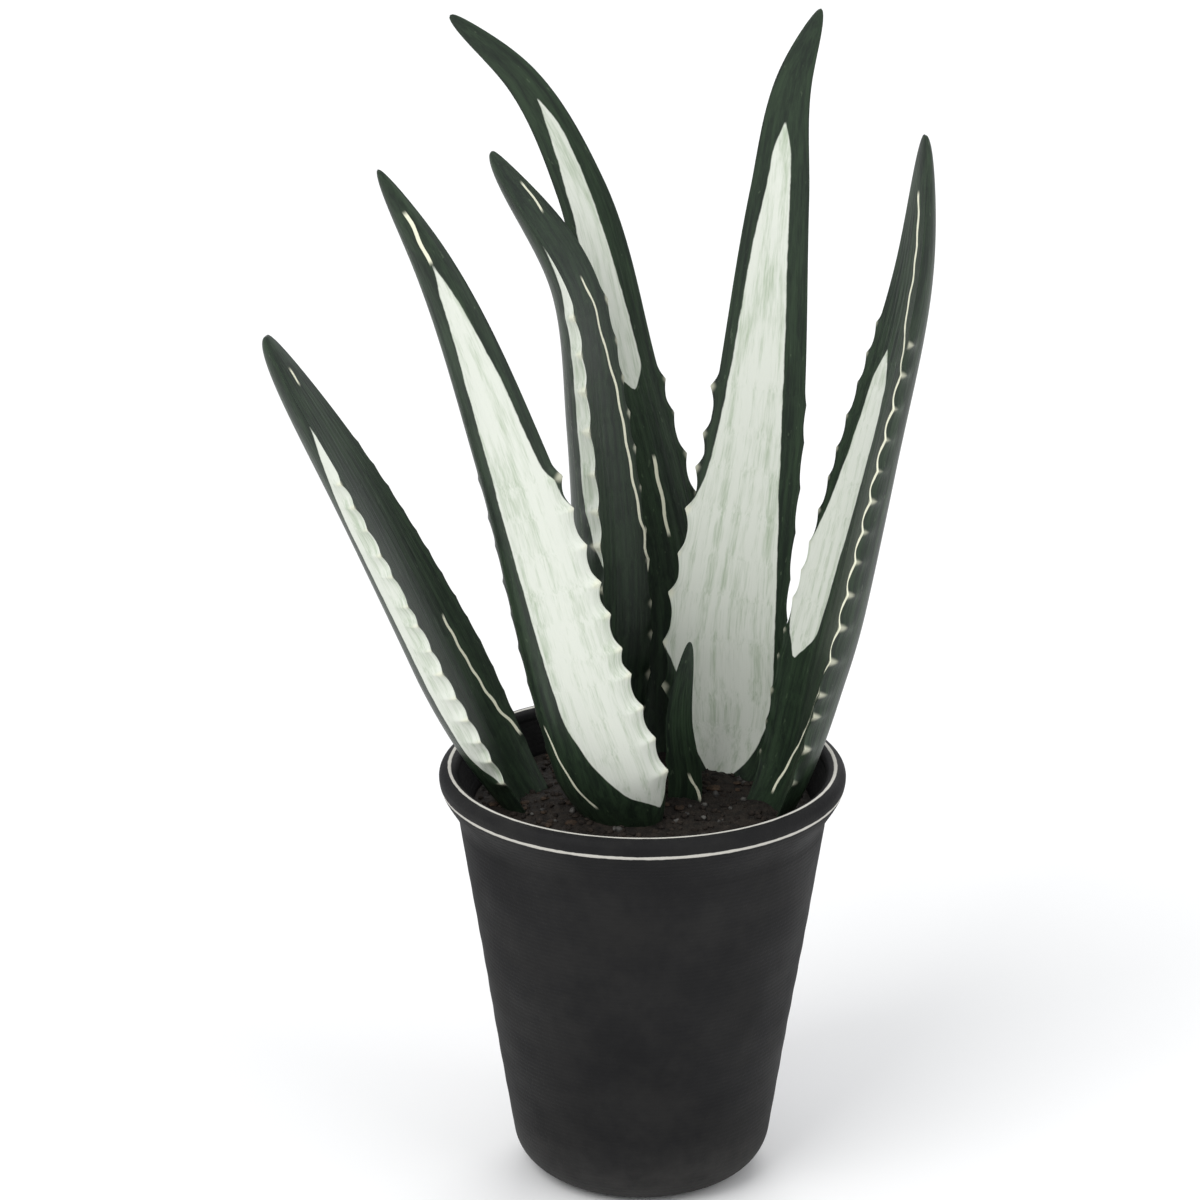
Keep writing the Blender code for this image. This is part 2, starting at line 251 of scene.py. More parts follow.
# %% The leaf table
LEAVES = {
    "leaf_left": dict(
        path=[(-0.0075, 0.007, -0.057), (-0.034, 0.001, -0.017), (-0.0605, -0.001, 0.038),
              (-0.0940, -0.006, 0.104), (-0.1255, -0.010, 0.157)],
        facing=-11, width=0.050, taper=0.42, flare=0.055, depth=0.92, channel=0.36,
        teeth=(0.0022, 0.0008), pitch=0.0095, smooth=0.20),
    "leaf_front": dict(
        path=[(0.000, -0.003, -0.042), (-0.007, -0.013, -0.011), (-0.020, -0.020, 0.033),
              (-0.044, -0.033, 0.123), (-0.069, -0.042, 0.192), (-0.086, -0.046, 0.224)],
        facing=62, width=0.047, taper=0.54, flare=0.022, depth=0.70, channel=0.22,
        teeth=(0.0026, 0.0012), pitch=0.0130, smooth=0.40),
    "leaf_back_left": dict(
        path=[(-0.001, 0.0182, -0.047), (-0.007, 0.023, -0.012), (-0.0050, 0.0275, 0.040),
              (-0.0110, 0.037, 0.110), (-0.0205, 0.0455, 0.158), (-0.0515, 0.050, 0.204)],
        facing=-22, width=0.052, taper=0.47, flare=0.035, depth=0.92, channel=0.36,
        teeth=(0.0026, 0.0026), pitch=0.0140, smooth=0.22),
    "leaf_back": dict(
        path=[(0.004, 0.018, -0.061), (0.009, 0.036, -0.015), (0.010, 0.053, 0.041),
              (-0.0065, 0.069, 0.121), (-0.0215, 0.076, 0.184), (-0.041, 0.0785, 0.221),
              (-0.066, 0.080, 0.244)],
        facing=-108, width=0.037, taper=0.45, flare=0.035, depth=0.66, channel=0.24,
        teeth=(0.0010, 0.0020), pitch=0.0140, smooth=0.42),
    "leaf_tall": dict(
        path=[(0.012, 0.014, -0.045), (0.0265, 0.020, -0.013), (0.0295, 0.024, 0.041),
              (0.0390, 0.031, 0.111), (0.0460, 0.038, 0.191), (0.0505, 0.041, 0.230),
              (0.0595, 0.042, 0.2555)],
        facing=-108, width=0.050, taper=0.54, flare=0.040, depth=0.60, channel=0.26,
        teeth=(0.0026, 0.0008), pitch=0.0150, smooth=0.42),
    "leaf_right": dict(
        path=[(0.0135, 0.005, -0.057), (0.040, -0.008, -0.015), (0.054, -0.003, 0.038),
              (0.0720, 0.008, 0.107), (0.0885, 0.015, 0.173), (0.0935, 0.018, 0.2185)],
        facing=-158, width=0.046, taper=0.47, flare=0.075, depth=0.98, channel=0.36,
        teeth=(0.0022, 0.0024), pitch=0.0110, smooth=0.22),
    "leaf_young": dict(
        path=[(0.0095, -0.001, -0.031), (0.0145, -0.003, -0.011), (0.0125, -0.004, 0.018),
              (0.016, -0.006, 0.047)],
        facing=-100, width=0.0145, taper=0.45, flare=0.012, depth=0.70, channel=0.20,
        teeth=(0.0008, 0.0008), pitch=0.0080, smooth=0.50),
}
BASE_HALF_WIDTH = 0.0050
EDGE_SHARPNESS = 0.62       # power of the back's outline: a smaller one is rounder at the margins
CHANNEL_START = 4.0         # the channel reaches its depth at 1 / this of the length
FIRST_TOOTH = 0.010         # height of the lowest tooth above the soil
TIP_CREST = 0.12            # how far the channel side swells near the tip, in half widths

# %% [markdown]
# ### The midrib
#
# The points of a leaf are joined by a cubic curve that passes through each of them with the
# slope of its neighbours (a Hermite curve), then resampled so that equal steps are equal
# lengths. At each station the section needs three directions: ahead along the midrib, the side
# that the channel faces, and the direction across, which is their cross product.

# %% Midrib and frames
MIDRIB_POINTS = 900


def midrib(leaf, count=MIDRIB_POINTS):
    """Cubic Hermite curve through the leaf's points, in even steps of length, and its length."""
    points = np.array(leaf["path"]) + (0.0, 0.0, RIM)
    knots = np.concatenate([[0.0], np.cumsum(np.linalg.norm(np.diff(points, axis=0), axis=1))])
    slopes = np.gradient(points, knots, axis=0)
    where = np.linspace(0.0, knots[-1], count)
    index = np.clip(np.searchsorted(knots, where, side="right") - 1, 0, len(knots) - 2)
    span = (knots[index + 1] - knots[index])[:, None]
    part = (where - knots[index])[:, None] / span
    curve = ((1 + 2 * part) * (1 - part) ** 2 * points[index]
             + part * (1 - part) ** 2 * span * slopes[index]
             + part ** 2 * (3 - 2 * part) * points[index + 1]
             + part ** 2 * (part - 1) * span * slopes[index + 1])
    length = np.concatenate([[0.0], np.cumsum(np.linalg.norm(np.diff(curve, axis=0), axis=1))])
    even = np.linspace(0.0, length[-1], count)
    curve = np.stack([np.interp(even, length, curve[:, axis]) for axis in range(3)], axis=1)
    return curve, length[-1]


def leaf_frames(leaf, stations):
    """Place, direction to the right margin and channel direction, at parts of the length."""
    curve = midrib(leaf)[0]
    along = np.linspace(0.0, 1.0, len(curve))
    tangent = np.gradient(curve, axis=0)
    turn = math.radians(leaf["facing"])
    place = np.stack([np.interp(stations, along, curve[:, axis]) for axis in range(3)], axis=1)
    ahead = np.stack([np.interp(stations, along, tangent[:, axis]) for axis in range(3)], axis=1)
    ahead /= np.linalg.norm(ahead, axis=1, keepdims=True)
    plan = np.array((math.cos(turn), math.sin(turn), 0.0))
    facing = plan - ahead * np.sum(plan * ahead, axis=1, keepdims=True)
    facing /= np.linalg.norm(facing, axis=1, keepdims=True)
    return place, np.cross(ahead, facing), facing


# %% [markdown]
# ### The width
#
# A leaf is narrow where it leaves the stem, widens above the soil and tapers to the tip. The
# widening is an even S, so that it starts and ends without a corner.


# %% Width along a leaf
def smooth_step(value):
    """0 below 0, 1 above 1, and an even S between them."""
    value = np.clip(value, 0.0, 1.0)
    return value * value * (3.0 - 2.0 * value)


def station_at(leaf, height):
    """The part of the leaf's length at which its midrib passes a height."""
    curve = midrib(leaf)[0]
    return float(np.argmax(curve[:, 2] > height)) / (len(curve) - 1)


def half_width(leaf, stations):
    """Half the width: a blunt taper, (1 - along) to a power, that narrows again into the stem."""
    taper = leaf["width"] / 2.0 * (1.0 - stations) ** leaf["taper"]
    widened = smooth_step(stations / station_at(leaf, SOIL_TOP + leaf["flare"]))
    narrow = min(1.0, BASE_HALF_WIDTH / (leaf["width"] / 2.0))
    return taper * (narrow + (1.0 - narrow) * widened)


# %% [markdown]
# ### Teeth
#
# Between two teeth the margin is a shallow bay; each tooth rises from it to a soft point that
# leans a little towards the tip. A wave that is pushed forward and raised to a power gives that
# shape. The spacing and the heights vary from tooth to tooth, as they do on a plant.


# %% Tooth wave
TOOTH_PLACE = 0.58          # where the point of a tooth stands in its own stretch of margin
TOOTH_STRAY = 0.07          # how far it strays from there, as a part of the stretch
TOOTH_SIZES = (0.72, 1.08)
TIP_REACH, BASE_REACH = 0.40, 0.56      # length of a tooth's two flanks, in stretches
TOOTH_POWER = 1.9           # above 1, the flanks are hollow and the point is sharp


def tooth_wave(leaf, stations, margin, draw):
    """Tooth height in metres: one minus the distance to the point over its reach, to a power."""
    first = station_at(leaf, SOIL_TOP + FIRST_TOOTH)
    last = 1.0 - leaf["smooth"]
    count = max(1, round((last - first) * midrib(leaf)[1] / leaf["pitch"]))
    pitch = (last - first) / count
    points = first + pitch * (np.arange(count) + TOOTH_PLACE)
    points = points + draw.normal(0.0, TOOTH_STRAY, count) * pitch
    size = draw.uniform(*TOOTH_SIZES, count)
    offset = (stations[:, None] - points[None, :]) / pitch
    reach = np.where(offset > 0.0, TIP_REACH, BASE_REACH)
    rise = np.clip(1.0 - np.abs(offset) / reach, 0.0, 1.0) ** TOOTH_POWER
    return (rise * size).max(axis=1) * leaf["teeth"][margin]


# %% [markdown]
# ### The cross-section
#
# A section has a channel side and a back side that meet at the margins. The columns of the grid
# are spaced by the cosine of an angle, so they crowd together at the margins where the teeth
# are. Fine ridges run along the whole leaf, and the flesh swells and shrinks a little.

# %% One fine leaf
SIDE_COLUMNS = 44           # columns on each side of a leaf
LEAF_ROWS = 460
RIDGE = 0.00006             # height of the fine ridges along a leaf
RIDGE_COUNT = 26.0          # ridges in the whole way round
SWELL = 0.012               # how much the back swells and shrinks along the leaf
TOOTH_ROOT = 0.80           # the margin beyond this part of the half width is drawn into teeth
TIP_CROWDING = 0.25         # how much closer the rows stand near the tip
LAST_STATION = 0.9992       # the last row, just short of the point
INSET = 0.985               # the fine skin keeps inside the solid's outline,
TIP_INSET = 0.07            # and by this much more at the tip


def leaf_sheet(leaf, seed):
    """Grid of a leaf, and its coordinates: part of the length, way round (0 to 2), tooth height.

    A point lies at the midrib, plus the half width times minus the cosine of the way round
    towards the right margin, plus a parabola (channel) or an ellipse to a power (back) along
    the channel's direction.
    """
    draw = np.random.default_rng(seed)
    rise = np.linspace(0.0, 1.0, LEAF_ROWS + 1)[:-1]
    stations = np.minimum(rise * (1.0 + TIP_CROWDING * (1.0 - rise)), LAST_STATION)
    way = np.arange(2 * SIDE_COLUMNS) / SIDE_COLUMNS
    across = -np.cos(np.pi * way)
    place, right, facing = leaf_frames(leaf, stations)
    v = stations[:, None]
    half = half_width(leaf, stations)[:, None] * (INSET - TIP_INSET * v ** 6)
    swell = 1.0 + SWELL * np.sin(FULL_TURN * (3.0 * v + draw.uniform())) * (1.0 - v)
    hollow = leaf["channel"] * smooth_step(CHANNEL_START * v) * (1.0 - v ** 2)
    bulge = (1.0 - across ** 2)[None, :]
    channel = -half * (hollow - TIP_CREST * v ** 2) * bulge
    back = -half * leaf["depth"] * bulge ** EDGE_SHARPNESS * np.minimum(swell, 1.0)
    ridge = RIDGE * np.cos(np.pi * way * RIDGE_COUNT)[None, :] * bulge
    ridge = ridge * smooth_step(6.0 * (1.0 - v))
    outward = np.where(way[None, :] < 1.0, channel + ridge, back - ridge)
    lean = np.clip((np.abs(across) - TOOTH_ROOT) / (1.0 - TOOTH_ROOT), 0.0, 1.0) ** 2.0
    teeth = [tooth_wave(leaf, stations, margin, draw)[:, None] for margin in (0, 1)]
    tooth = np.where(across[None, :] < 0.0, teeth[0], teeth[1]) * lean[None, :]
    sideways = half * across[None, :] + np.sign(across)[None, :] * tooth
    grid = (place[:, None, :] + right[:, None, :] * sideways[:, :, None]
            + facing[:, None, :] * outward[:, :, None])
    return grid, stations, way, tooth


# %% [markdown]
# ### Where the painted light lies
#
# The leaves are pale grey-green, the colour of a waxy bloom, where the light falls on their
# broad faces: that pale area is painted light. Elsewhere they are dark green as painted shade:
# along the margins, at the tips and on the side away from the light. Each leaf's pale area is
# given as the side that it lies on and a few stations, each with the part of the length and the
# two edges of the pale area, counted from the left margin (0) to the right margin (1). Pale
# lines, partly horny margins and partly painted highlights, and short streaks of painted
# highlight are given in much the same way. What the material gets is a signed distance in
# millimetres, positive inside, because a distance stays exact between two vertices where a
# mask would blur.

# %% Bloom table: painted light on the lit faces
LIT_FACE_BLOOM = {
    "leaf_left": ("back", [(0.28, 0.00, 0.05), (0.30, -0.06, 0.17), (0.34, -0.06, 0.235),
                           (0.60, -0.06, 0.245), (0.70, -0.06, 0.25), (0.76, -0.06, 0.22),
                           (0.82, -0.06, 0.13), (0.87, 0.00, 0.03)]),
    "leaf_front": ("back", [(0.13, 0.05, 0.12), (0.15, -0.04, 0.29), (0.21, -0.06, 0.45),
                            (0.27, -0.06, 0.535), (0.50, -0.06, 0.59), (0.55, 0.03, 0.60),
                            (0.60, 0.16, 0.59), (0.72, 0.20, 0.56), (0.84, 0.30, 0.47),
                            (0.875, 0.37, 0.38)]),
    "leaf_back_left": ("back", [(0.43, -0.02, 0.02), (0.47, -0.06, 0.10), (0.52, -0.06, 0.16),
                                (0.76, -0.06, 0.155), (0.82, -0.04, 0.07), (0.865, 0.00, 0.02)]),
    "leaf_back": ("channel", [(0.55, 0.50, 0.60), (0.57, 0.36, 0.68), (0.62, 0.27, 0.66),
                              (0.72, 0.26, 0.59), (0.78, 0.31, 0.60), (0.84, 0.41, 0.62),
                              (0.875, 0.50, 0.56)]),
    "leaf_tall": ("channel", [(0.108, 0.38, 0.58), (0.14, 0.27, 0.69), (0.175, 0.21, 0.76),
                              (0.23, 0.20, 0.78), (0.28, -0.04, 0.80), (0.33, -0.04, 0.79),
                              (0.42, -0.04, 0.73), (0.45, 0.16, 0.70), (0.54, 0.205, 0.66),
                              (0.72, 0.275, 0.63), (0.84, 0.38, 0.60), (0.87, 0.47, 0.51)]),
    "leaf_right": ("channel", [(0.36, 0.22, 0.30), (0.39, 0.13, 0.43), (0.43, -0.04, 0.455),
                               (0.49, -0.04, 0.48), (0.52, 0.12, 0.505), (0.54, 0.17, 0.52),
                               (0.60, 0.25, 0.56), (0.66, 0.30, 0.585), (0.71, 0.31, 0.56),
                               (0.745, 0.42, 0.46)]),
    "leaf_young": ("back", [(0.20, 0.30, 0.36), (0.30, 0.28, 0.55), (0.50, 0.32, 0.60),
                            (0.62, 0.45, 0.52)]),
}

# %% [markdown]
# A pale line runs through a few points, each a part of the length and a way round. The lines
# stand partly for the pale horny margin and are partly painted highlights; the short streaks
# near the tips are painted highlights only. The way is 0 to 1 over the channel from the left
# margin to the right, and 1 to 2 over the back on to the left margin again.

# %% Line table: horny margins and painted highlights
MARGIN_AND_HIGHLIGHT_LINES = {
    "leaf_left": [[(0.29, 0.93), (0.33, 0.78), (0.38, 0.71), (0.44, 0.67), (0.51, 0.66)],
                  [(0.915, 0.50), (0.945, 0.49)]],
    "leaf_front": [[(0.15, 1.50), (0.18, 1.40), (0.21, 1.34), (0.26, 1.27)],
                   [(0.875, 1.60), (0.91, 1.63), (0.945, 1.67)]],
    "leaf_back_left": [[(0.39, 0.97), (0.44, 0.92), (0.48, 0.87), (0.52, 0.83), (0.58, 0.81),
                        (0.64, 0.79), (0.68, 0.72), (0.72, 0.65), (0.76, 0.64), (0.80, 0.55)],
                       [(0.895, 0.58), (0.92, 0.63), (0.945, 0.66)]],
    "leaf_back": [[(0.39, 0.53), (0.44, 0.545), (0.478, 0.555)]],
    "leaf_tall": [],
    "leaf_right": [[(0.20, 0.41), (0.24, 0.48), (0.28, 0.60), (0.32, 0.78), (0.36, 0.92),
                    (0.42, 0.99), (0.54, 1.00), (0.68, 0.99), (0.74, 0.90), (0.79, 0.66),
                    (0.84, 0.68), (0.90, 0.64), (0.935, 0.56)]],
    "leaf_young": [[(0.25, 0.95), (0.29, 0.80), (0.33, 0.60), (0.37, 0.58)]],
}

# %% [markdown]
# Faces turned away from the front keep a thin haze of bloom, strongest down their middle. The
# table gives the way round of that middle and half the haze's width.

# %% Haze table
HAZE = {
    "leaf_left": (1.30, 0.30), "leaf_front": (0.50, 0.42), "leaf_back_left": (1.32, 0.30),
    "leaf_back": (1.50, 0.46), "leaf_tall": (1.50, 0.46), "leaf_right": (1.68, 0.34),
    "leaf_young": (1.50, 0.40),
}

# %% [markdown]
# Distances are measured on the skin itself. Going round a row of the grid and adding up the
# steps gives the girth at every column, so an edge given as a part of the way round can be
# turned into millimetres from every vertex of its row.


# %% Distances over the skin
MM = 1000.0                 # millimetres in a metre
CORNER_ROWS = 21            # rows over which a corner in an edge is rounded
ROUND_END = 0.012           # length of the round end of a pale area of painted light, in metres


def girths(grid):
    """Distance round each row, in millimetres, from the left margin, with the closing step."""
    ring = np.concatenate([grid, grid[:, :1]], axis=1)
    steps = np.linalg.norm(np.diff(ring, axis=1), axis=2) * MM
    return np.concatenate([np.zeros((len(grid), 1)), np.cumsum(steps, axis=1)], axis=1)


def girth_at(girth, way):
    """Girth of each row at its own way round; a way outside 0 to 2 goes on at the end's pace."""
    last = girth.shape[1] - 1
    column = np.asarray(way) * SIDE_COLUMNS
    index = np.clip(np.floor(column).astype(int), 0, last - 1)
    rows = np.arange(len(girth))
    low, high = girth[rows, index], girth[rows, index + 1]
    average = girth[:, -1] / last
    beyond = np.clip(column - last, 0.0, None) + np.clip(column, None, 0.0)
    part = np.clip(column - index, 0.0, 1.0)
    return low + part * (high - low) + beyond * average


def softened(stations, knots, values):
    """Straight pieces between the knots, with each corner rounded by a moving average."""
    rough = np.interp(stations, knots, values)
    window = np.hanning(CORNER_ROWS + 2)[1:-1]
    padded = np.pad(rough, CORNER_ROWS // 2, mode="edge")
    return np.convolve(padded, window / window.sum(), mode="valid")[:len(rough)]


def lit_bloom_depth(girth, stations, length, side, table):
    """Signed distance in mm into the pale area of painted light: the nearer of its two edges, and
    of its two ends.

    Near its ends the area closes like an ellipse: its edges draw together to their middle as
    the square root of one minus a squared distance.
    """
    v, low, high = (np.array(column) for column in zip(*table))
    low_edge = softened(stations, v, low)
    high_edge = softened(stations, v, high)
    to_end = np.minimum(stations - v[0], v[-1] - stations) * length / ROUND_END
    closing = np.sqrt(np.clip(1.0 - np.clip(1.0 - to_end, 0.0, 1.0) ** 2, 0.0, 1.0))
    middle = (low_edge + high_edge) / 2.0
    low_edge = middle + (low_edge - middle) * closing
    high_edge = middle + (high_edge - middle) * closing
    here = girth[:, :-1].copy()
    if side == "back":
        start, end = girth_at(girth, 2.0 - high_edge), girth_at(girth, 2.0 - low_edge)
        here[:, 0] = girth[:, -1]
    else:
        start, end = girth_at(girth, low_edge), girth_at(girth, high_edge)
    across = np.minimum(here - start[:, None], end[:, None] - here)
    ends = np.minimum(stations - v[0], v[-1] - stations) * length * MM
    return np.minimum(across, ends[:, None])


# %% [markdown]
# A line about a millimetre wide needs columns closer than the leaf's own, so the distance to a
# line is kept with its sign: negative on its left, positive on its right. The material takes
# the absolute value. Each line has a distance of its own, since a vertex between two lines
# couldn't stand for both.


# %% Side of a line
LINE_COUNT = 2              # the most lines that a leaf has
LINE_WAVE = 0.25            # millimetres; a line sways a little with the teeth
FAR = 99.0                  # millimetres; where a leaf has no such line


def line_offset(girth, stations, length, line, wave):
    """Signed distance in mm across to a line, and how far inside its two ends, in mm."""
    here = girth[:, :-1]
    v, way = (np.array(column) for column in zip(*line))
    middle = girth_at(girth, softened(stations, v, way)) + wave
    total = girth[:, -1:]
    across = here - middle[:, None]
    across = across - total * np.round(across / total)
    ends = np.minimum(stations - v[0], v[-1] - stations) * length * MM
    return across, np.repeat(ends[:, None], here.shape[1], axis=1)


# %% [markdown]
# The haze needs no sharp edge, so it can be a plain strength on each vertex.


# %% Strength of the haze
HAZE_START, HAZE_END = 0.10, 0.92       # parts of the length between which there is haze
HAZE_RISE, HAZE_FALL = 0.20, 0.30       # parts of the length over which it comes and goes


def haze_strength(stations, way, middle, half):
    """Strength 0 to 1: a soft band down a face that fades before the foot and the tip."""
    across = smooth_step(1.0 - np.abs(way[None, :] - middle) / half)
    coming = smooth_step((stations - HAZE_START) / HAZE_RISE)
    going = smooth_step((HAZE_END - stations) / HAZE_FALL)
    return across * (coming * going)[:, None]


# %% [markdown]
# Now each leaf is made from its row of the table. Its material needs to know where on the
# leaf it is, so millimetres along the leaf and a place round it go onto the vertices too: the
# place round is a point on a circle as long as the row, which has no seam.

# %% Seven fine leaves
FIRST_SEED = 11


def set_attribute(piece, name, values):
    """A number on every vertex, for the material; the two end points repeat the end rows."""
    full = np.concatenate([values.reshape(-1), [values[0].mean(), values[-1].mean()]])
    layer = piece.data.attributes.new(name, "FLOAT", "POINT")
    layer.data.foreach_set("value", full.astype(np.float32))


leaves = {}
for seed, (name, leaf) in enumerate(LEAVES.items(), start=FIRST_SEED):
    grid, stations, way, tooth = leaf_sheet(leaf, seed)
    curve, length = midrib(leaf)
    piece = closed_surface("aloe_" + name, grid, grid[0].mean(axis=0), curve[-1])
    girth = girths(grid)
    side, table = LIT_FACE_BLOOM[name]
    wave = LINE_WAVE * np.sin(stations * length / leaf["pitch"] * FULL_TURN)
    # The bloom distance marks where the bloom colour is laid as painted light on the lit faces.
    set_attribute(piece, "bloom", lit_bloom_depth(girth, stations, length, side, table))
    for number in range(LINE_COUNT):
        offset, inside = np.full(tooth.shape, FAR), np.full(tooth.shape, -FAR)
        if number < len(MARGIN_AND_HIGHLIGHT_LINES[name]):
            offset, inside = line_offset(girth, stations, length, MARGIN_AND_HIGHLIGHT_LINES[name][number], wave)
        set_attribute(piece, "line_%d" % number, offset)
        set_attribute(piece, "line_inside_%d" % number, inside)
    set_attribute(piece, "haze", haze_strength(stations, way, *HAZE[name]))
    set_attribute(piece, "tooth", tooth * MM)
    along = stations[:, None] * length * MM
    set_attribute(piece, "mm_along", np.repeat(along, grid.shape[1], axis=1))
    set_attribute(piece, "side_x", np.cos(np.pi * way)[None, :] * girth[:, -1:] / FULL_TURN)
    set_attribute(piece, "side_y", np.sin(np.pi * way)[None, :] * girth[:, -1:] / FULL_TURN)
    leaves[name] = piece

# %% [markdown]
# ## The soil
#
# Potting soil is loose and crumbly. The surface is a turned disc with uneven ground added to
# its top: big soft heaps, then crumbs. It dips a little at the wall, where water runs, and it
# banks up where each leaf comes out of it. Separate crumbs, chips of bark and dark grit lie
# on it.

# %% The ground's height
SOIL_COLUMNS = 300
SOIL_GAP = 0.0006           # air between the soil and the inside of the pot
SOIL_CENTRE = 0.0008        # radius of the ring that the surface closes on
MOUND = 0.0025              # how much the soil rises in the middle
SETTLED = 0.0012            # how far it has sunk since it was filled to its mark
HEAP, HEAP_SIZE = 0.0006, 0.022         # height and size of the soft heaps
LUMP, LUMP_SIZE = 0.00038, 0.0052
CRUMB, CRUMB_SIZE = 0.00022, 0.0023
BANK, BANK_REACH = 0.0013, 0.009        # soil pushed up round a leaf's foot
WALL_REACH = 0.004          # distance from the wall over which the ground evens out
WALL_SHARE = 0.35           # how much of the unevenness is left at the wall


def ripples(x, y, size, seed, waves=24):
    """Uneven ground: a sum of plane waves of about one size, in random directions and phases."""
    draw = np.random.default_rng(seed)
    direction = draw.uniform(0.0, FULL_TURN, waves)
    phase = draw.uniform(0.0, FULL_TURN, waves)
    pace = FULL_TURN / (size * draw.uniform(0.6, 1.8, waves))
    total = np.zeros(np.broadcast(x, y).shape)
    for angle, start, rate in zip(direction, phase, pace):
        total = total + np.cos(rate * (x * math.cos(angle) + y * math.sin(angle)) + start)
    return total / math.sqrt(waves)


def leaf_feet():
    """Plan positions where the leaves pass the soil surface."""
    feet = []
    for leaf in LEAVES.values():
        curve = midrib(leaf)[0]
        feet.append(curve[np.argmax(curve[:, 2] > SOIL_TOP + 0.001)])
    return np.array(feet)


def soil_height(x, y):
    """Height of the soil: a low mound, heaps, crumbs, and a bank round each leaf."""
    radius = np.hypot(x, y)
    mound = MOUND * (1.0 - (radius / inner_radius(SOIL_TOP)) ** 2)
    heaps = HEAP * ripples(x, y, HEAP_SIZE, 3)
    lumps = LUMP * np.abs(ripples(x, y, LUMP_SIZE, 4))
    crumbs = CRUMB * np.abs(ripples(x, y, CRUMB_SIZE, 5))
    feet = leaf_feet()
    away = np.hypot(x[..., None] - feet[:, 0], y[..., None] - feet[:, 1])
    bank = BANK * np.exp(-(away / BANK_REACH) ** 2).max(axis=-1)
    fade = smooth_step((inner_radius(SOIL_TOP) - radius) / WALL_REACH)
    uneven = (heaps + lumps + crumbs + bank) * (WALL_SHARE + (1.0 - WALL_SHARE) * fade)
    return SOIL_TOP + mound + uneven - SETTLED


# %% [markdown]
# The rest of the soil is the inside of the pot, less a hair of air. Its profile starts under
# the middle, follows the floor, the corner and the wall, and comes back over the top.

# %% The soil
turn = inner_corner(SOIL_GAP)
wall_radius = inner_radius(SOIL_TOP) - SOIL_GAP
lower = run((CENTRE, FLOOR + SOIL_GAP), turn[0], 6)[:-1]
side = run(turn[-1], (wall_radius, SOIL_TOP - WALL_REACH), 14)
top_radius = np.linspace(wall_radius, SOIL_CENTRE, 150)
top = np.stack([top_radius, np.full(len(top_radius), SOIL_TOP)], axis=1)
soil_grid = turned(np.concatenate([lower, turn, side, top]), SOIL_COLUMNS)
first_top = len(soil_grid) - len(top)
soil_grid[first_top:, :, 2] = soil_height(soil_grid[first_top:, :, 0], soil_grid[first_top:, :, 1])
middle = (0.0, 0.0, float(soil_grid[-1, :, 2].mean()))
soil = closed_surface("potting_soil", soil_grid, (0.0, 0.0, FLOOR + SOIL_GAP), middle)

# %% [markdown]
# Each crumb is a small ball of 42 points and 80 faces, pushed out of shape by its own random
# numbers. All of them are made at once: the ball's points are repeated along a new axis of the
# array, and scaled, turned and moved together.


# %% Crumbs, bark and grit
def ball():
    """Points and triangles of a ball of 80 faces, from Blender's own icosphere."""
    bm = bmesh.new()
    bmesh.ops.create_icosphere(bm, subdivisions=2, radius=1.0)
    points = np.array([vert.co for vert in bm.verts])
    faces = np.array([[vert.index for vert in face.verts] for face in bm.faces])
    bm.free()
    return points, faces


WALL_CLEARANCE = 0.0030     # grains keep this far from the pot
FOOT_CLEARANCE = 0.005      # and this far from the middle of a leaf's foot
LUMPINESS = 0.154           # spread of the distances from a grain's middle to its points
LUMP_LIMIT = 1.6            # the furthest that a point strays, in spreads
NARROWEST = 0.65            # least stretch of a grain along an axis


def scatter(name, count, sizes, flatness, seed, sink):
    """One object of many uneven grains lying on the soil, clear of the leaves' feet.

    Three times as many places as needed are drawn, evenly over the disc (the radius is the
    square root of an even draw), and the first ones that are clear of the leaves are kept.
    """
    draw = np.random.default_rng(seed)
    reach = inner_radius(SOIL_TOP) - WALL_CLEARANCE
    radius = reach * np.sqrt(draw.uniform(0.0, 1.0, count * 3))
    bearing = draw.uniform(0.0, FULL_TURN, count * 3)
    x, y = radius * np.cos(bearing), radius * np.sin(bearing)
    feet = leaf_feet()
    away = np.hypot(x[:, None] - feet[:, 0], y[:, None] - feet[:, 1]).min(axis=1)
    clear = away > FOOT_CLEARANCE
    x, y = x[clear][:count], y[clear][:count]
    size = draw.uniform(*sizes, len(x))
    points, faces = ball()
    stray = draw.normal(size=(len(x), len(points), 1)).clip(-LUMP_LIMIT, LUMP_LIMIT)
    stretch = draw.uniform(NARROWEST, 1.0, (len(x), 1, 3))
    shape = points[None] * (1.0 + LUMPINESS * stray) * stretch
    shape[..., 2] *= flatness
    turn = draw.uniform(0.0, FULL_TURN, len(x))[:, None]
    turned_x = shape[..., 0] * np.cos(turn) - shape[..., 1] * np.sin(turn)
    turned_y = shape[..., 0] * np.sin(turn) + shape[..., 1] * np.cos(turn)
    grains = np.stack([turned_x, turned_y, shape[..., 2]], axis=-1) * size[:, None, None]
    ground = soil_height(x, y) + size * flatness * sink
    grains = grains + np.stack([x, y, ground], axis=-1)[:, None, :]
    count = len(x)
    triangles = (faces[None] + len(points) * np.arange(count)[:, None, None]).reshape(-1, 3)
    mesh = bpy.data.meshes.new(name)
    mesh.from_pydata(grains.reshape(-1, 3).tolist(), [], triangles.tolist())
    shade = np.repeat(draw.uniform(0.0, 1.0, count), len(points)).astype(np.float32)
    mesh.attributes.new("shade", "FLOAT", "POINT").data.foreach_set("value", shade)
    mesh.shade_smooth()
    piece = bpy.data.objects.new(name, mesh)
    bpy.context.scene.collection.objects.link(piece)
    print(name, "has", count, "grains and", len(triangles), "triangles")
    return piece


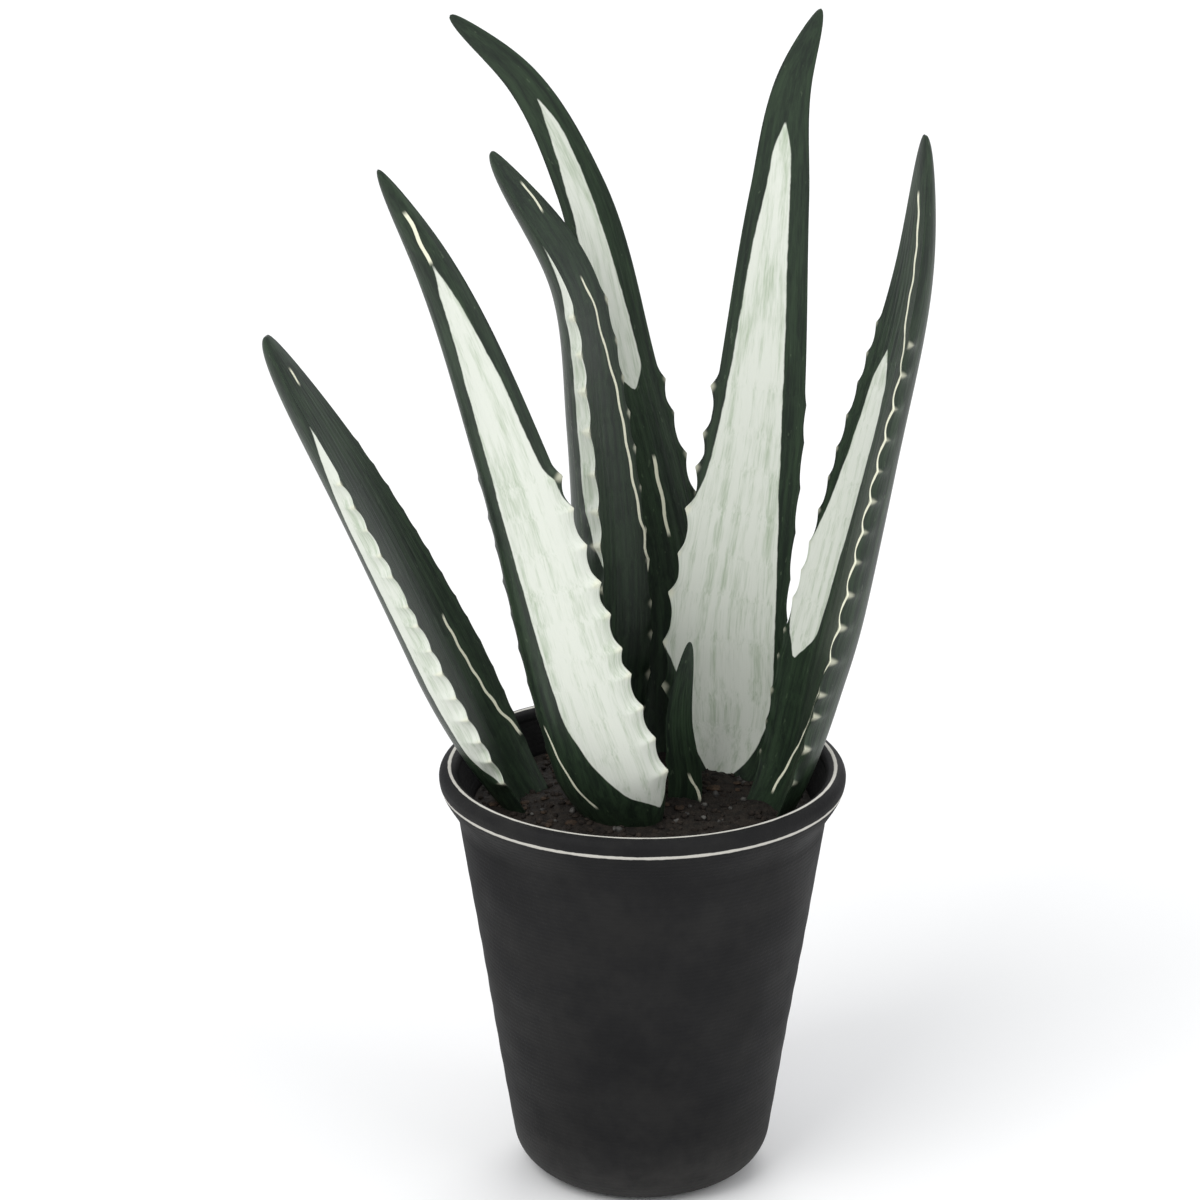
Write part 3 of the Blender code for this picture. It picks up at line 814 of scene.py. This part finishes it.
crumbs = scatter("soil_crumbs", 620, sizes=(0.0005, 0.0016), flatness=0.75, seed=21, sink=0.25)
bark = scatter("bark_chips", 60, sizes=(0.0014, 0.0030), flatness=0.34, seed=22, sink=0.30)
grit = scatter("grit_stones", 70, sizes=(0.0008, 0.0017), flatness=0.85, seed=23, sink=0.30)

# %% [markdown]
# ## The stem
#
# The crown of the short stem shows between the leaves. It is ringed with the scars of old
# leaves and wrapped in dry, papery skin, so its profile is a spindle with small steps.

# %% Stem
STEM_RADIUS = 0.0070
STEM_LOW = RIM - 0.071
STEM_HIGH = RIM - 0.008
STEM_AXIS = (0.003, 0.008)
STEM_INSET = 0.97           # the papery skin keeps inside the solid stem
STEM_TIP = 0.05             # least radius, as a part of the full one
FOOT_LENGTH, CROWN_LENGTH = 0.20, 0.14  # parts of the height that the two round ends take
END_POWER = 0.6             # below 1, the ends are blunt
SCAR_COUNT, SCAR_DEPTH = 17, 0.05
CRINKLE = 0.035             # depth of the folds that wind round the stem
rise = np.linspace(0.0, 1.0, 160)
body = np.minimum(smooth_step(rise / FOOT_LENGTH), smooth_step((1.0 - rise) / CROWN_LENGTH))
body = np.maximum(body ** END_POWER, STEM_TIP)
scar = 1.0 - SCAR_DEPTH * (0.5 + 0.5 * np.cos(FULL_TURN * rise * SCAR_COUNT)) ** 3
stem_profile = np.stack([STEM_RADIUS * STEM_INSET * body * scar,
                         STEM_LOW + (STEM_HIGH - STEM_LOW) * rise], axis=1)
stem_grid = turned(stem_profile, 72)
bearing = np.arctan2(stem_grid[..., 1], stem_grid[..., 0])
crinkle = 1.0 - CRINKLE * (0.5 + 0.5 * np.sin(9.0 * bearing + 14.0 * rise[:, None])) ** 2
stem_grid[..., :2] *= crinkle[..., None]
stem_grid = stem_grid + np.array((*STEM_AXIS, 0.0))
stem = closed_surface("stem_crown", stem_grid, (*STEM_AXIS, STEM_LOW), (*STEM_AXIS, STEM_HIGH))

# %% [markdown]
# ## Shared effects
#
# Three effects are used by more than one finish, so each is a shader node group: an uneven
# mottle, an edge of painted light, and fine pores for the bump. A group takes its sizes and
# strengths as named inputs and gives back only a colour or a value; the shader itself stays in
# the material.
# A few helpers come first, so that a finish reads as a recipe: one to start a group, one to
# join sockets, and one to put a group in a material.


# %% Groups and sockets
def new_group(name, inputs, outputs):
    """Empty shader group; inputs and outputs are (name, socket type, default) triples."""
    tree = bpy.data.node_groups.new(name, "ShaderNodeTree")
    for label, kind, default in inputs:
        socket = tree.interface.new_socket(label, in_out="INPUT", socket_type="NodeSocket" + kind)
        if default is not None:
            socket.default_value = default
    for label, kind in outputs:
        tree.interface.new_socket(label, in_out="OUTPUT", socket_type="NodeSocket" + kind)
    return tree, tree.nodes.new("NodeGroupInput"), tree.nodes.new("NodeGroupOutput")


def plug(tree, target, value):
    """Link a socket to a target socket, or set the target to a plain value."""
    if isinstance(value, bpy.types.NodeSocket):
        tree.links.new(value, target)
    else:
        target.default_value = value


def use(tree, group, **values):
    """Put a group in a material and fill its inputs; underscores stand for spaces."""
    node = tree.nodes.new("ShaderNodeGroup")
    node.node_tree = group
    for label, entry in values.items():
        plug(tree, node.inputs[label.replace("_", " ")], entry)
    return node.outputs


# %% [markdown]
# Each helper below adds one node, or a few that belong together, and returns the socket that
# carries its result.


# %% One helper for each kind of node
def noise(tree, vector, scale, detail=4.0, roughness=0.55):
    """Noise value at a vector, as a socket between 0 and 1."""
    node = tree.nodes.new("ShaderNodeTexNoise")
    plug(tree, node.inputs["Vector"], vector)
    plug(tree, node.inputs["Scale"], scale)
    node.inputs["Detail"].default_value = detail
    node.inputs["Roughness"].default_value = roughness
    return node.outputs["Fac"]


def spread(tree, value, low, high, out_low=0.0, out_high=1.0):
    """Smooth map of a value from low..high to out_low..out_high, clamped."""
    node = tree.nodes.new("ShaderNodeMapRange")
    node.interpolation_type = "SMOOTHSTEP"
    for label, entry in (("Value", value), ("From Min", low), ("From Max", high),
                         ("To Min", out_low), ("To Max", out_high)):
        plug(tree, node.inputs[label], entry)
    return node.outputs["Result"]


def maths(tree, operation, *values):
    """One Math node."""
    node = tree.nodes.new("ShaderNodeMath")
    node.operation = operation
    for socket, entry in zip(node.inputs, values):
        plug(tree, socket, entry)
    return node.outputs[0]


def hypotenuse(tree, first, second):
    """Square root of the sum of two squares."""
    squares = (maths(tree, "MULTIPLY", first, first), maths(tree, "MULTIPLY", second, second))
    return maths(tree, "SQRT", maths(tree, "ADD", *squares))


def mix(tree, factor, first, second):
    """Mix of two colours; a Mix node keeps its colour sockets after those for other types."""
    node = tree.nodes.new("ShaderNodeMix")
    node.data_type = "RGBA"
    plug(tree, node.inputs[0], factor)
    plug(tree, node.inputs[6], first)
    plug(tree, node.inputs[7], second)
    return node.outputs[2]


def attribute(tree, name):
    """A number stored on the vertices."""
    node = tree.nodes.new("ShaderNodeAttribute")
    node.attribute_name = name
    return node.outputs["Fac"]


def vector(tree, x, y, z):
    """A vector from three numbers."""
    node = tree.nodes.new("ShaderNodeCombineXYZ")
    for socket, entry in zip(node.inputs, (x, y, z)):
        plug(tree, socket, entry)
    return node.outputs[0]


def object_place(tree):
    """Object coordinates in metres."""
    return tree.nodes.new("ShaderNodeTexCoord").outputs["Object"]


# %% [markdown]
# Every finish in this lesson is one glossy-or-matt shader with a pattern for its colour, its
# roughness and its fine relief, so one function sets it up from three others.


# %% A finish from three patterns
def finish(name, colour, roughness, normal, specular=0.5, coat=0.0, coat_roughness=0.3):
    """Material whose colour, roughness and normal are given by a function of its node tree."""
    material = bpy.data.materials.new(name)
    material.use_nodes = True
    tree = material.node_tree
    shader = tree.nodes["Principled BSDF"]
    shader.inputs["Specular IOR Level"].default_value = specular
    shader.inputs["Coat Weight"].default_value = coat
    shader.inputs["Coat Roughness"].default_value = coat_roughness
    plug(tree, shader.inputs["Base Color"], colour(tree))
    plug(tree, shader.inputs["Roughness"], roughness(tree))
    plug(tree, shader.inputs["Normal"], normal(tree))
    return material


def bump(tree, height, distance, strength=1.0):
    """Bump from a height between 0 and 1, with its full height in metres."""
    node = tree.nodes.new("ShaderNodeBump")
    node.inputs["Strength"].default_value = strength
    node.inputs["Distance"].default_value = distance
    plug(tree, node.inputs["Height"], height)
    return node.outputs["Normal"]


# %% [markdown]
# The mottle adds two sizes of noise, and its value says how pale a place is. It gives the
# colour between a dark and a pale one, and the value itself.

# %% Group: mottle
tree, enter, leave = new_group("mottle", [
    ("Vector", "Vector", None), ("Scale", "Float", 10.0), ("Dark", "Color", (0, 0, 0, 1)),
    ("Pale", "Color", (1, 1, 1, 1)), ("Low", "Float", 0.35), ("High", "Float", 0.65)],
    [("Color", "Color"), ("Value", "Float")])
broad = noise(tree, enter.outputs["Vector"], enter.outputs["Scale"], 5.0)
finer = noise(tree, enter.outputs["Vector"], maths(tree, "MULTIPLY", enter.outputs["Scale"], 6.3))
broad, finer = maths(tree, "MULTIPLY", broad, 0.68), maths(tree, "MULTIPLY", finer, 0.32)
blend = maths(tree, "ADD", broad, finer)
level = spread(tree, blend, enter.outputs["Low"], enter.outputs["High"])
plug(tree, leave.inputs["Value"], level)
plug(tree, leave.inputs["Color"], mix(tree, level, enter.outputs["Dark"], enter.outputs["Pale"]))
mottle = tree

# %% [markdown]
# The edge of painted light takes a signed distance in millimetres, makes its edge ragged with
# noise and soft over a given width, and lays a second colour where the distance is positive.
# It places the painted light on the leaves' lit faces, their painted highlights and the pot's
# painted highlights.

# %% Group: edge of painted light
tree, enter, leave = new_group("painted_light_edge", [
    ("Color", "Color", (0, 0, 0, 1)), ("Worn", "Color", (1, 1, 1, 1)), ("Depth", "Float", 0.0),
    ("Soft", "Float", 0.5), ("Ragged", "Float", 0.5), ("Vector", "Vector", None),
    ("Scale", "Float", 100.0), ("Amount", "Float", 1.0)],
    [("Color", "Color"), ("Mask", "Float")])
rag = noise(tree, enter.outputs["Vector"], enter.outputs["Scale"], 3.0)
rag = maths(tree, "MULTIPLY", maths(tree, "SUBTRACT", rag, 0.5), enter.outputs["Ragged"])
depth = maths(tree, "ADD", enter.outputs["Depth"], rag)
soft = enter.outputs["Soft"]
mask = spread(tree, depth, maths(tree, "MULTIPLY", soft, -0.5), maths(tree, "MULTIPLY", soft, 0.5))
mask = maths(tree, "MULTIPLY", mask, enter.outputs["Amount"])
plug(tree, leave.inputs["Mask"], mask)
plug(tree, leave.inputs["Color"], mix(tree, mask, enter.outputs["Color"], enter.outputs["Worn"]))
painted_light_edge = tree

# %% [markdown]
# Pores are the hollows between round cells, with a finer grain added.

# %% Group: pores
tree, enter, leave = new_group("pores", [
    ("Vector", "Vector", None), ("Scale", "Float", 900.0), ("Grain", "Float", 0.5)],
    [("Height", "Float")])
cells = tree.nodes.new("ShaderNodeTexVoronoi")
plug(tree, cells.inputs["Vector"], enter.outputs["Vector"])
plug(tree, cells.inputs["Scale"], enter.outputs["Scale"])
pit = spread(tree, cells.outputs["Distance"], 0.05, 0.45)
grain = noise(tree, enter.outputs["Vector"], maths(tree, "MULTIPLY", enter.outputs["Scale"], 0.37))
grain = maths(tree, "MULTIPLY", grain, enter.outputs["Grain"])
plug(tree, leave.inputs["Height"], maths(tree, "ADD", maths(tree, "MULTIPLY", pit, 0.5), grain))
pores = tree
print("shared effects:", ", ".join(group.name for group in (mottle, painted_light_edge, pores)))

# %% [markdown]
# ## Leaf finish
#
# Dark, deep green skin, which is painted shade; pale grey-green bloom colour inside the edges
# given above, which is painted light on the lit faces; pale lines that are partly horny margin
# and partly painted highlight; and pale teeth. The texture's vector is laid on the skin itself,
# millimetres along the leaf and round it, so streaks run lengthways whatever way the leaf bends.

# %% Leaf finish
# The two deep greens are painted shade: the leaf's green, darkened where its faces turn from the
# light. The two bloom colours after them are painted light on the lit faces; the first of them also
# tints the haze.
SKIN_DARK = (0.010, 0.017, 0.011, 1.0)
SKIN_GREEN = (0.026, 0.046, 0.024, 1.0)
BLOOM_GREEN = (0.36, 0.44, 0.31, 1.0)
LIT_BLOOM_PALE = (0.69, 0.72, 0.64, 1.0)
FLECK_GREEN = (0.16, 0.22, 0.13, 1.0)
# Pale horn of the teeth and margins, also used for the painted highlights on the leaves.
HORN_AND_HIGHLIGHT = (0.80, 0.80, 0.62, 1.0)
LINE_HALF = 0.62            # half the thickness of a pale line of horny margin and painted highlight, in millimetres
CM = 0.1                    # centimetres in a millimetre


def skin_vector(tree, across, lengthways):
    """Vector on the leaf's skin, in centimetres, with its own stretch across and lengthways."""
    x = maths(tree, "MULTIPLY", attribute(tree, "side_x"), CM * across)
    y = maths(tree, "MULTIPLY", attribute(tree, "side_y"), CM * across)
    z = maths(tree, "MULTIPLY", attribute(tree, "mm_along"), CM * lengthways)
    return vector(tree, x, y, z)


def lit_bloom_mask(tree):
    """1 on the lit faces, where the bloom colour is painted light: its signed distance made soft
    and a little ragged.
    """
    return use(tree, painted_light_edge, Depth=attribute(tree, "bloom"), Soft=0.5, Ragged=0.9,
               Vector=skin_vector(tree, 1.0, 0.5), Scale=3.0)["Mask"]


def margin_and_highlight_mask(tree, number):
    """1 on one pale line of horny margin and painted highlight: half its thickness minus the
    distance to it, faded at its ends.
    """
    away = maths(tree, "ABSOLUTE", attribute(tree, "line_%d" % number))
    line = use(tree, painted_light_edge, Depth=maths(tree, "SUBTRACT", LINE_HALF, away), Soft=0.22,
               Ragged=0.35, Vector=skin_vector(tree, 1.0, 1.0), Scale=3.0)["Mask"]
    shown = spread(tree, attribute(tree, "line_inside_%d" % number), -0.5, 2.0)
    return maths(tree, "MULTIPLY", line, shown)


def shaded_skin(tree):
    """Two deep greens in lengthways streaks, with paler flecks: the leaf's green, dark as painted
    shade.
    """
    skin = use(tree, mottle, Vector=skin_vector(tree, 2.2, 0.10), Scale=2.2,
               Dark=SKIN_DARK, Pale=SKIN_GREEN, Low=0.36, High=0.66)["Color"]
    fleck = noise(tree, skin_vector(tree, 2.6, 0.9), 2.4, 2.0)
    return mix(tree, spread(tree, fleck, 0.68, 0.74, 0.0, 0.20), skin, FLECK_GREEN)


def leaf_colour(tree):
    """Skin dark as painted shade under a patchy haze, then bloom colour as painted light, pale
    lines of horny margin and painted highlight, and the points of the teeth.
    """
    patchy = spread(tree, noise(tree, skin_vector(tree, 1.6, 0.12), 2.0), 0.30, 0.62, 0.25, 0.60)
    hazed = maths(tree, "MULTIPLY", attribute(tree, "haze"), patchy)
    # The bloom colour, laid below as painted light on the lit faces.
    bloom = use(tree, mottle, Vector=skin_vector(tree, 2.0, 0.08), Scale=2.0,
                Dark=BLOOM_GREEN, Pale=LIT_BLOOM_PALE, Low=0.24, High=0.56)["Color"]
    point = spread(tree, attribute(tree, "tooth"), 0.9, 2.0)
    colour = mix(tree, hazed, shaded_skin(tree), BLOOM_GREEN)
    colour = mix(tree, lit_bloom_mask(tree), colour, bloom)
    # Pale lines: partly horny margin, partly painted highlight.
    for number in range(LINE_COUNT):
        colour = mix(tree, margin_and_highlight_mask(tree, number), colour, HORN_AND_HIGHLIGHT)
    return mix(tree, maths(tree, "MULTIPLY", point, 0.55), colour, HORN_AND_HIGHLIGHT)


def leaf_roughness(tree):
    """Dark skin is satin; the pale bloom-coloured faces are waxy and matt; both vary a little."""
    base = spread(tree, lit_bloom_mask(tree), 0.0, 1.0, 0.36, 0.58)
    streak = noise(tree, skin_vector(tree, 1.5, 0.2), 3.0)
    return maths(tree, "ADD", base, maths(tree, "MULTIPLY", streak, 0.10))


def leaf_normal(tree):
    """Fine lengthways veins and tiny pores, at most about two tenths of a millimetre high."""
    vein = noise(tree, skin_vector(tree, 5.0, 0.12), 3.0, 3.0)
    pore = use(tree, pores, Vector=skin_vector(tree, 1.0, 0.7), Scale=22.0, Grain=0.5)["Height"]
    height = maths(tree, "ADD", vein, maths(tree, "MULTIPLY", pore, 0.22))
    return bump(tree, height, 0.00022, 0.6)


leaf_finish = finish("aloe_skin", leaf_colour, leaf_roughness, leaf_normal,
                     specular=0.26, coat=0.05, coat_roughness=0.30)
print(leaf_finish.name, "has", len(leaf_finish.node_tree.nodes), "nodes")

# %% [markdown]
# ## Pot finish
#
# Matt black clay. Two thin pale lines on it are painted highlights, in the colour of bare clay:
# one along the top of the rolled rim and one round its outside. Fine rings from the wheel and
# open pores catch the light, and a little water scale greys the foot. A ring round the axis
# needs no attribute: its distance follows from the place on the pot.

# %% Pot finish
CREST_RADIUS = RIM_RADIUS - 0.0006      # the painted highlight round the outside of the roll
CREST_HEIGHT = RIM - ROLL - 0.0026
CREST_HALF = 0.00060                    # half the thickness of that line
LIP_RADIUS = RIM_RADIUS - ROLL - 0.0002 # the painted highlight along the top of the roll
LIP_HEIGHT = RIM
LIP_HALF = 0.00055
SLIP_BLACK = (0.0075, 0.0075, 0.008, 1.0)
SLIP_CLOUD = (0.0145, 0.0142, 0.0138, 1.0)
WATER_SCALE = (0.16, 0.155, 0.145, 1.0)
# Colour of the two painted highlights on the rim.
RIM_HIGHLIGHT = (0.66, 0.64, 0.58, 1.0)
SCALE_TOP = 0.030           # height that the water scale reaches


def ring_depth(tree, radius, height, half_thickness):
    """Signed distance in mm into a ring round the axis: half its thickness minus the distance."""
    split = tree.nodes.new("ShaderNodeSeparateXYZ")
    plug(tree, split.inputs[0], object_place(tree))
    x, y, z = split.outputs
    out = maths(tree, "SUBTRACT", hypotenuse(tree, x, y), radius)
    away = hypotenuse(tree, out, maths(tree, "SUBTRACT", z, height))
    return maths(tree, "MULTIPLY", maths(tree, "SUBTRACT", half_thickness, away), MM)


def highlight_ring(tree, colour, radius, height, half_thickness, ragged, amount):
    """Paint a pale highlight along a ring."""
    return use(tree, painted_light_edge, Color=colour, Worn=RIM_HIGHLIGHT,
               Depth=ring_depth(tree, radius, height, half_thickness), Soft=0.30, Ragged=ragged,
               Vector=object_place(tree), Scale=240.0, Amount=amount)["Color"]


def pot_colour(tree):
    """Black slip with faint clouds, water scale low down, and two pale rings of painted highlight.
    """
    place = object_place(tree)
    clay = use(tree, mottle, Vector=place, Scale=38.0, Dark=SLIP_BLACK, Pale=SLIP_CLOUD,
               Low=0.34, High=0.68)["Color"]
    split = tree.nodes.new("ShaderNodeSeparateXYZ")
    plug(tree, split.inputs[0], place)
    low_down = spread(tree, split.outputs[2], 0.0, SCALE_TOP, 0.28, 0.0)
    scale = maths(tree, "MULTIPLY", low_down, noise(tree, place, 120.0))
    clay = mix(tree, scale, clay, WATER_SCALE)
    # Two pale rings of painted highlight on the rim.
    clay = highlight_ring(tree, clay, LIP_RADIUS, LIP_HEIGHT, LIP_HALF, ragged=0.45, amount=0.90)
    return highlight_ring(tree, clay, CREST_RADIUS, CREST_HEIGHT, CREST_HALF, ragged=0.55, amount=0.80)


def pot_roughness(tree):
    """Matt, with slightly smoother clouds where it has been handled."""
    cloud = noise(tree, object_place(tree), 30.0)
    return spread(tree, cloud, 0.3, 0.7, 0.62, 0.78)


def pot_normal(tree):
    """Throwing rings as a fine wave of height, plus pores."""
    place = object_place(tree)
    wave = tree.nodes.new("ShaderNodeTexWave")
    wave.bands_direction = "Z"
    wave.inputs["Scale"].default_value = 190.0
    wave.inputs["Distortion"].default_value = 0.9
    wave.inputs["Detail"].default_value = 2.0
    plug(tree, wave.inputs["Vector"], place)
    pore = use(tree, pores, Vector=place, Scale=1100.0, Grain=0.9)["Height"]
    ring = maths(tree, "MULTIPLY", wave.outputs["Fac"], 0.35)
    return bump(tree, maths(tree, "ADD", ring, pore), 0.00016, 0.8)


pot_finish = finish("black_clay", pot_colour, pot_roughness, pot_normal, specular=0.16)
print(pot_finish.name, "has", len(pot_finish.node_tree.nodes), "nodes")

# %% [markdown]
# ## Soil, bark, grit and stem finishes
#
# These differ only in colour, scale and roughness, so one function makes them all. Soil is
# dark brown and matt. Bark is a warmer brown with a fibrous grain; grit is dark grey stone; the
# stem is straw-coloured and papery. Each grain has a shade of its own, a number between 0 and 1
# on its vertices, so that neighbours differ.

# %% Ground finishes
def ground(name, dark, pale, scale, roughness, pore_scale, height, stretch=(1.0, 1.0, 1.0)):
    """Matt finish with a mottle from dark to pale, grain shade by grain, and rough pores."""
    def place(tree):
        node = tree.nodes.new("ShaderNodeMapping")
        node.inputs["Scale"].default_value = stretch
        plug(tree, node.inputs["Vector"], object_place(tree))
        return node.outputs[0]

    def colour(tree):
        tone = use(tree, mottle, Vector=place(tree), Scale=scale, Dark=dark, Pale=pale,
                   Low=0.32, High=0.68)["Color"]
        shade = spread(tree, attribute(tree, "shade"), 0.0, 1.0, 0.0, 0.45)
        return mix(tree, shade, tone, dark)

    def rough(tree):
        return spread(tree, noise(tree, place(tree), scale * 2.0), 0.3, 0.7,
                      roughness - 0.08, roughness + 0.05)

    def normal(tree):
        pore = use(tree, pores, Vector=place(tree), Scale=pore_scale, Grain=1.0)["Height"]
        return bump(tree, pore, height, 0.9)

    print(name, "is mottled at", round(1000.0 / scale, 1), "mm")
    return finish(name, colour, rough, normal, specular=0.25)


soil_finish = ground("damp_soil", (0.006, 0.005, 0.004, 1.0), (0.026, 0.020, 0.015, 1.0),
                     320.0, 0.88, 1300.0, 0.0006)
crumb_finish = ground("soil_crumb", (0.008, 0.006, 0.005, 1.0), (0.040, 0.030, 0.022, 1.0),
                      500.0, 0.90, 1700.0, 0.0005)
bark_finish = ground("bark", (0.018, 0.011, 0.007, 1.0), (0.085, 0.055, 0.034, 1.0),
                     260.0, 0.82, 1500.0, 0.0004, (1.0, 4.0, 2.0))
grit_finish = ground("grit", (0.020, 0.019, 0.018, 1.0), (0.12, 0.115, 0.105, 1.0),
                     600.0, 0.70, 2100.0, 0.0003)
stem_finish = ground("papery_stem", (0.16, 0.12, 0.065, 1.0), (0.48, 0.40, 0.25, 1.0),
                     240.0, 0.72, 900.0, 0.0004, (3.0, 3.0, 0.6))

# %% [markdown]
# ## Putting the pieces on the model
#
# Each fine surface rides the one body and stands for its own solid, which is hidden; its finish
# is its only material. Crumbs, bark and grit are extra pieces that lie on the soil.

# %% Pieces on the model
def place_piece(piece, material, node=None):
    """Give a piece its finish and its body, and hide the solid that it stands for, if it has one.
    """
    piece.data.materials.clear()
    piece.data.materials.append(material)
    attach(piece, "root")
    if node:
        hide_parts(node)


place_piece(pot, pot_finish, "pot")
place_piece(soil, soil_finish, "soil")
place_piece(stem, stem_finish, "stem")
for name, piece in leaves.items():
    place_piece(piece, leaf_finish, name)
for piece, material in ((crumbs, crumb_finish), (bark, bark_finish), (grit, grit_finish)):
    place_piece(piece, material)
print(len(leaves), "leaves and 6 other pieces are on the model")

# %% [markdown]
# ## Floor, light and camera
#
# The floor is one plain pale square, wide enough that its edge never shows behind the plant.

# %% Floor
FLOOR_HALF = 6.0
floor_mesh = bpy.data.meshes.new("floor")
corners = [(-FLOOR_HALF, -FLOOR_HALF, 0), (FLOOR_HALF, -FLOOR_HALF, 0),
           (FLOOR_HALF, FLOOR_HALF, 0), (-FLOOR_HALF, FLOOR_HALF, 0)]
floor_mesh.from_pydata(corners, [], [(0, 1, 2, 3)])
floor = bpy.data.objects.new("floor", floor_mesh)
bpy.context.scene.collection.objects.link(floor)
floor_finish = bpy.data.materials.new("plain_floor")
floor_finish.use_nodes = True
floor_shader = floor_finish.node_tree.nodes["Principled BSDF"]
floor_shader.inputs["Base Color"].default_value = (0.86, 0.86, 0.85, 1.0)
floor_shader.inputs["Roughness"].default_value = 0.9
floor_mesh.materials.append(floor_finish)

# %% [markdown]
# Soft light comes from large panels: a broad one above and to the left, a weaker one to the
# right and one behind, so that the black pot keeps its outline. The sky fills the shadows.


# %% Light
def panel(name, place, aim, size, power):
    """Square area light at a place, pointed at an aim."""
    data = bpy.data.lights.new(name, "AREA")
    data.shape = "SQUARE"
    data.size = size
    data.energy = power
    lamp = bpy.data.objects.new(name, data)
    lamp.location = place
    lamp.rotation_euler = (Vector(aim) - Vector(place)).to_track_quat("-Z", "Y").to_euler()
    bpy.context.scene.collection.objects.link(lamp)


panel("key_panel", (-1.3, -1.5, 2.2), (0.0, 0.0, 0.15), 1.8, 46.0)
panel("fill_panel", (1.8, -1.2, 1.3), (0.0, 0.0, 0.2), 1.8, 16.0)
panel("back_panel", (0.4, 2.0, 1.8), (0.0, 0.0, 0.2), 1.6, 24.0)
world = bpy.data.worlds.new("studio")
world.use_nodes = True
background = world.node_tree.nodes["Background"]
background.inputs["Color"].default_value = (0.95, 0.96, 1.0, 1.0)
background.inputs["Strength"].default_value = 0.68
bpy.context.scene.world = world

# %% [markdown]
# The camera looks down on the plant from 20 degrees with a long lens, which keeps the pot's
# sides straight. A lens is as long as the sensor is wide, times distance over the width of the
# view. The Standard view keeps white paper-white and black black, where the default would
# grey them both.

# %% Camera
LOOK_AT = (-0.0146, 0.0, 0.209)
ELEVATION = math.radians(20.0)
DISTANCE = 1.8
FIELD = 0.408               # width of the view at the plant, in metres
SENSOR = 36.0               # millimetres
bpy.context.scene.view_settings.view_transform = "Standard"
camera_data = bpy.data.cameras.new("camera")
camera_data.sensor_width = SENSOR
camera_data.lens = SENSOR * DISTANCE / FIELD
camera_data.clip_end = 50.0
camera = bpy.data.objects.new("camera", camera_data)
camera.location = (LOOK_AT[0], LOOK_AT[1] - DISTANCE * math.cos(ELEVATION),
                   LOOK_AT[2] + DISTANCE * math.sin(ELEVATION))
camera.rotation_euler = (math.pi / 2.0 - ELEVATION, 0.0, 0.0)
bpy.context.scene.collection.objects.link(camera)
bpy.context.scene.camera = camera
print("lens is", round(camera_data.lens), "mm long")
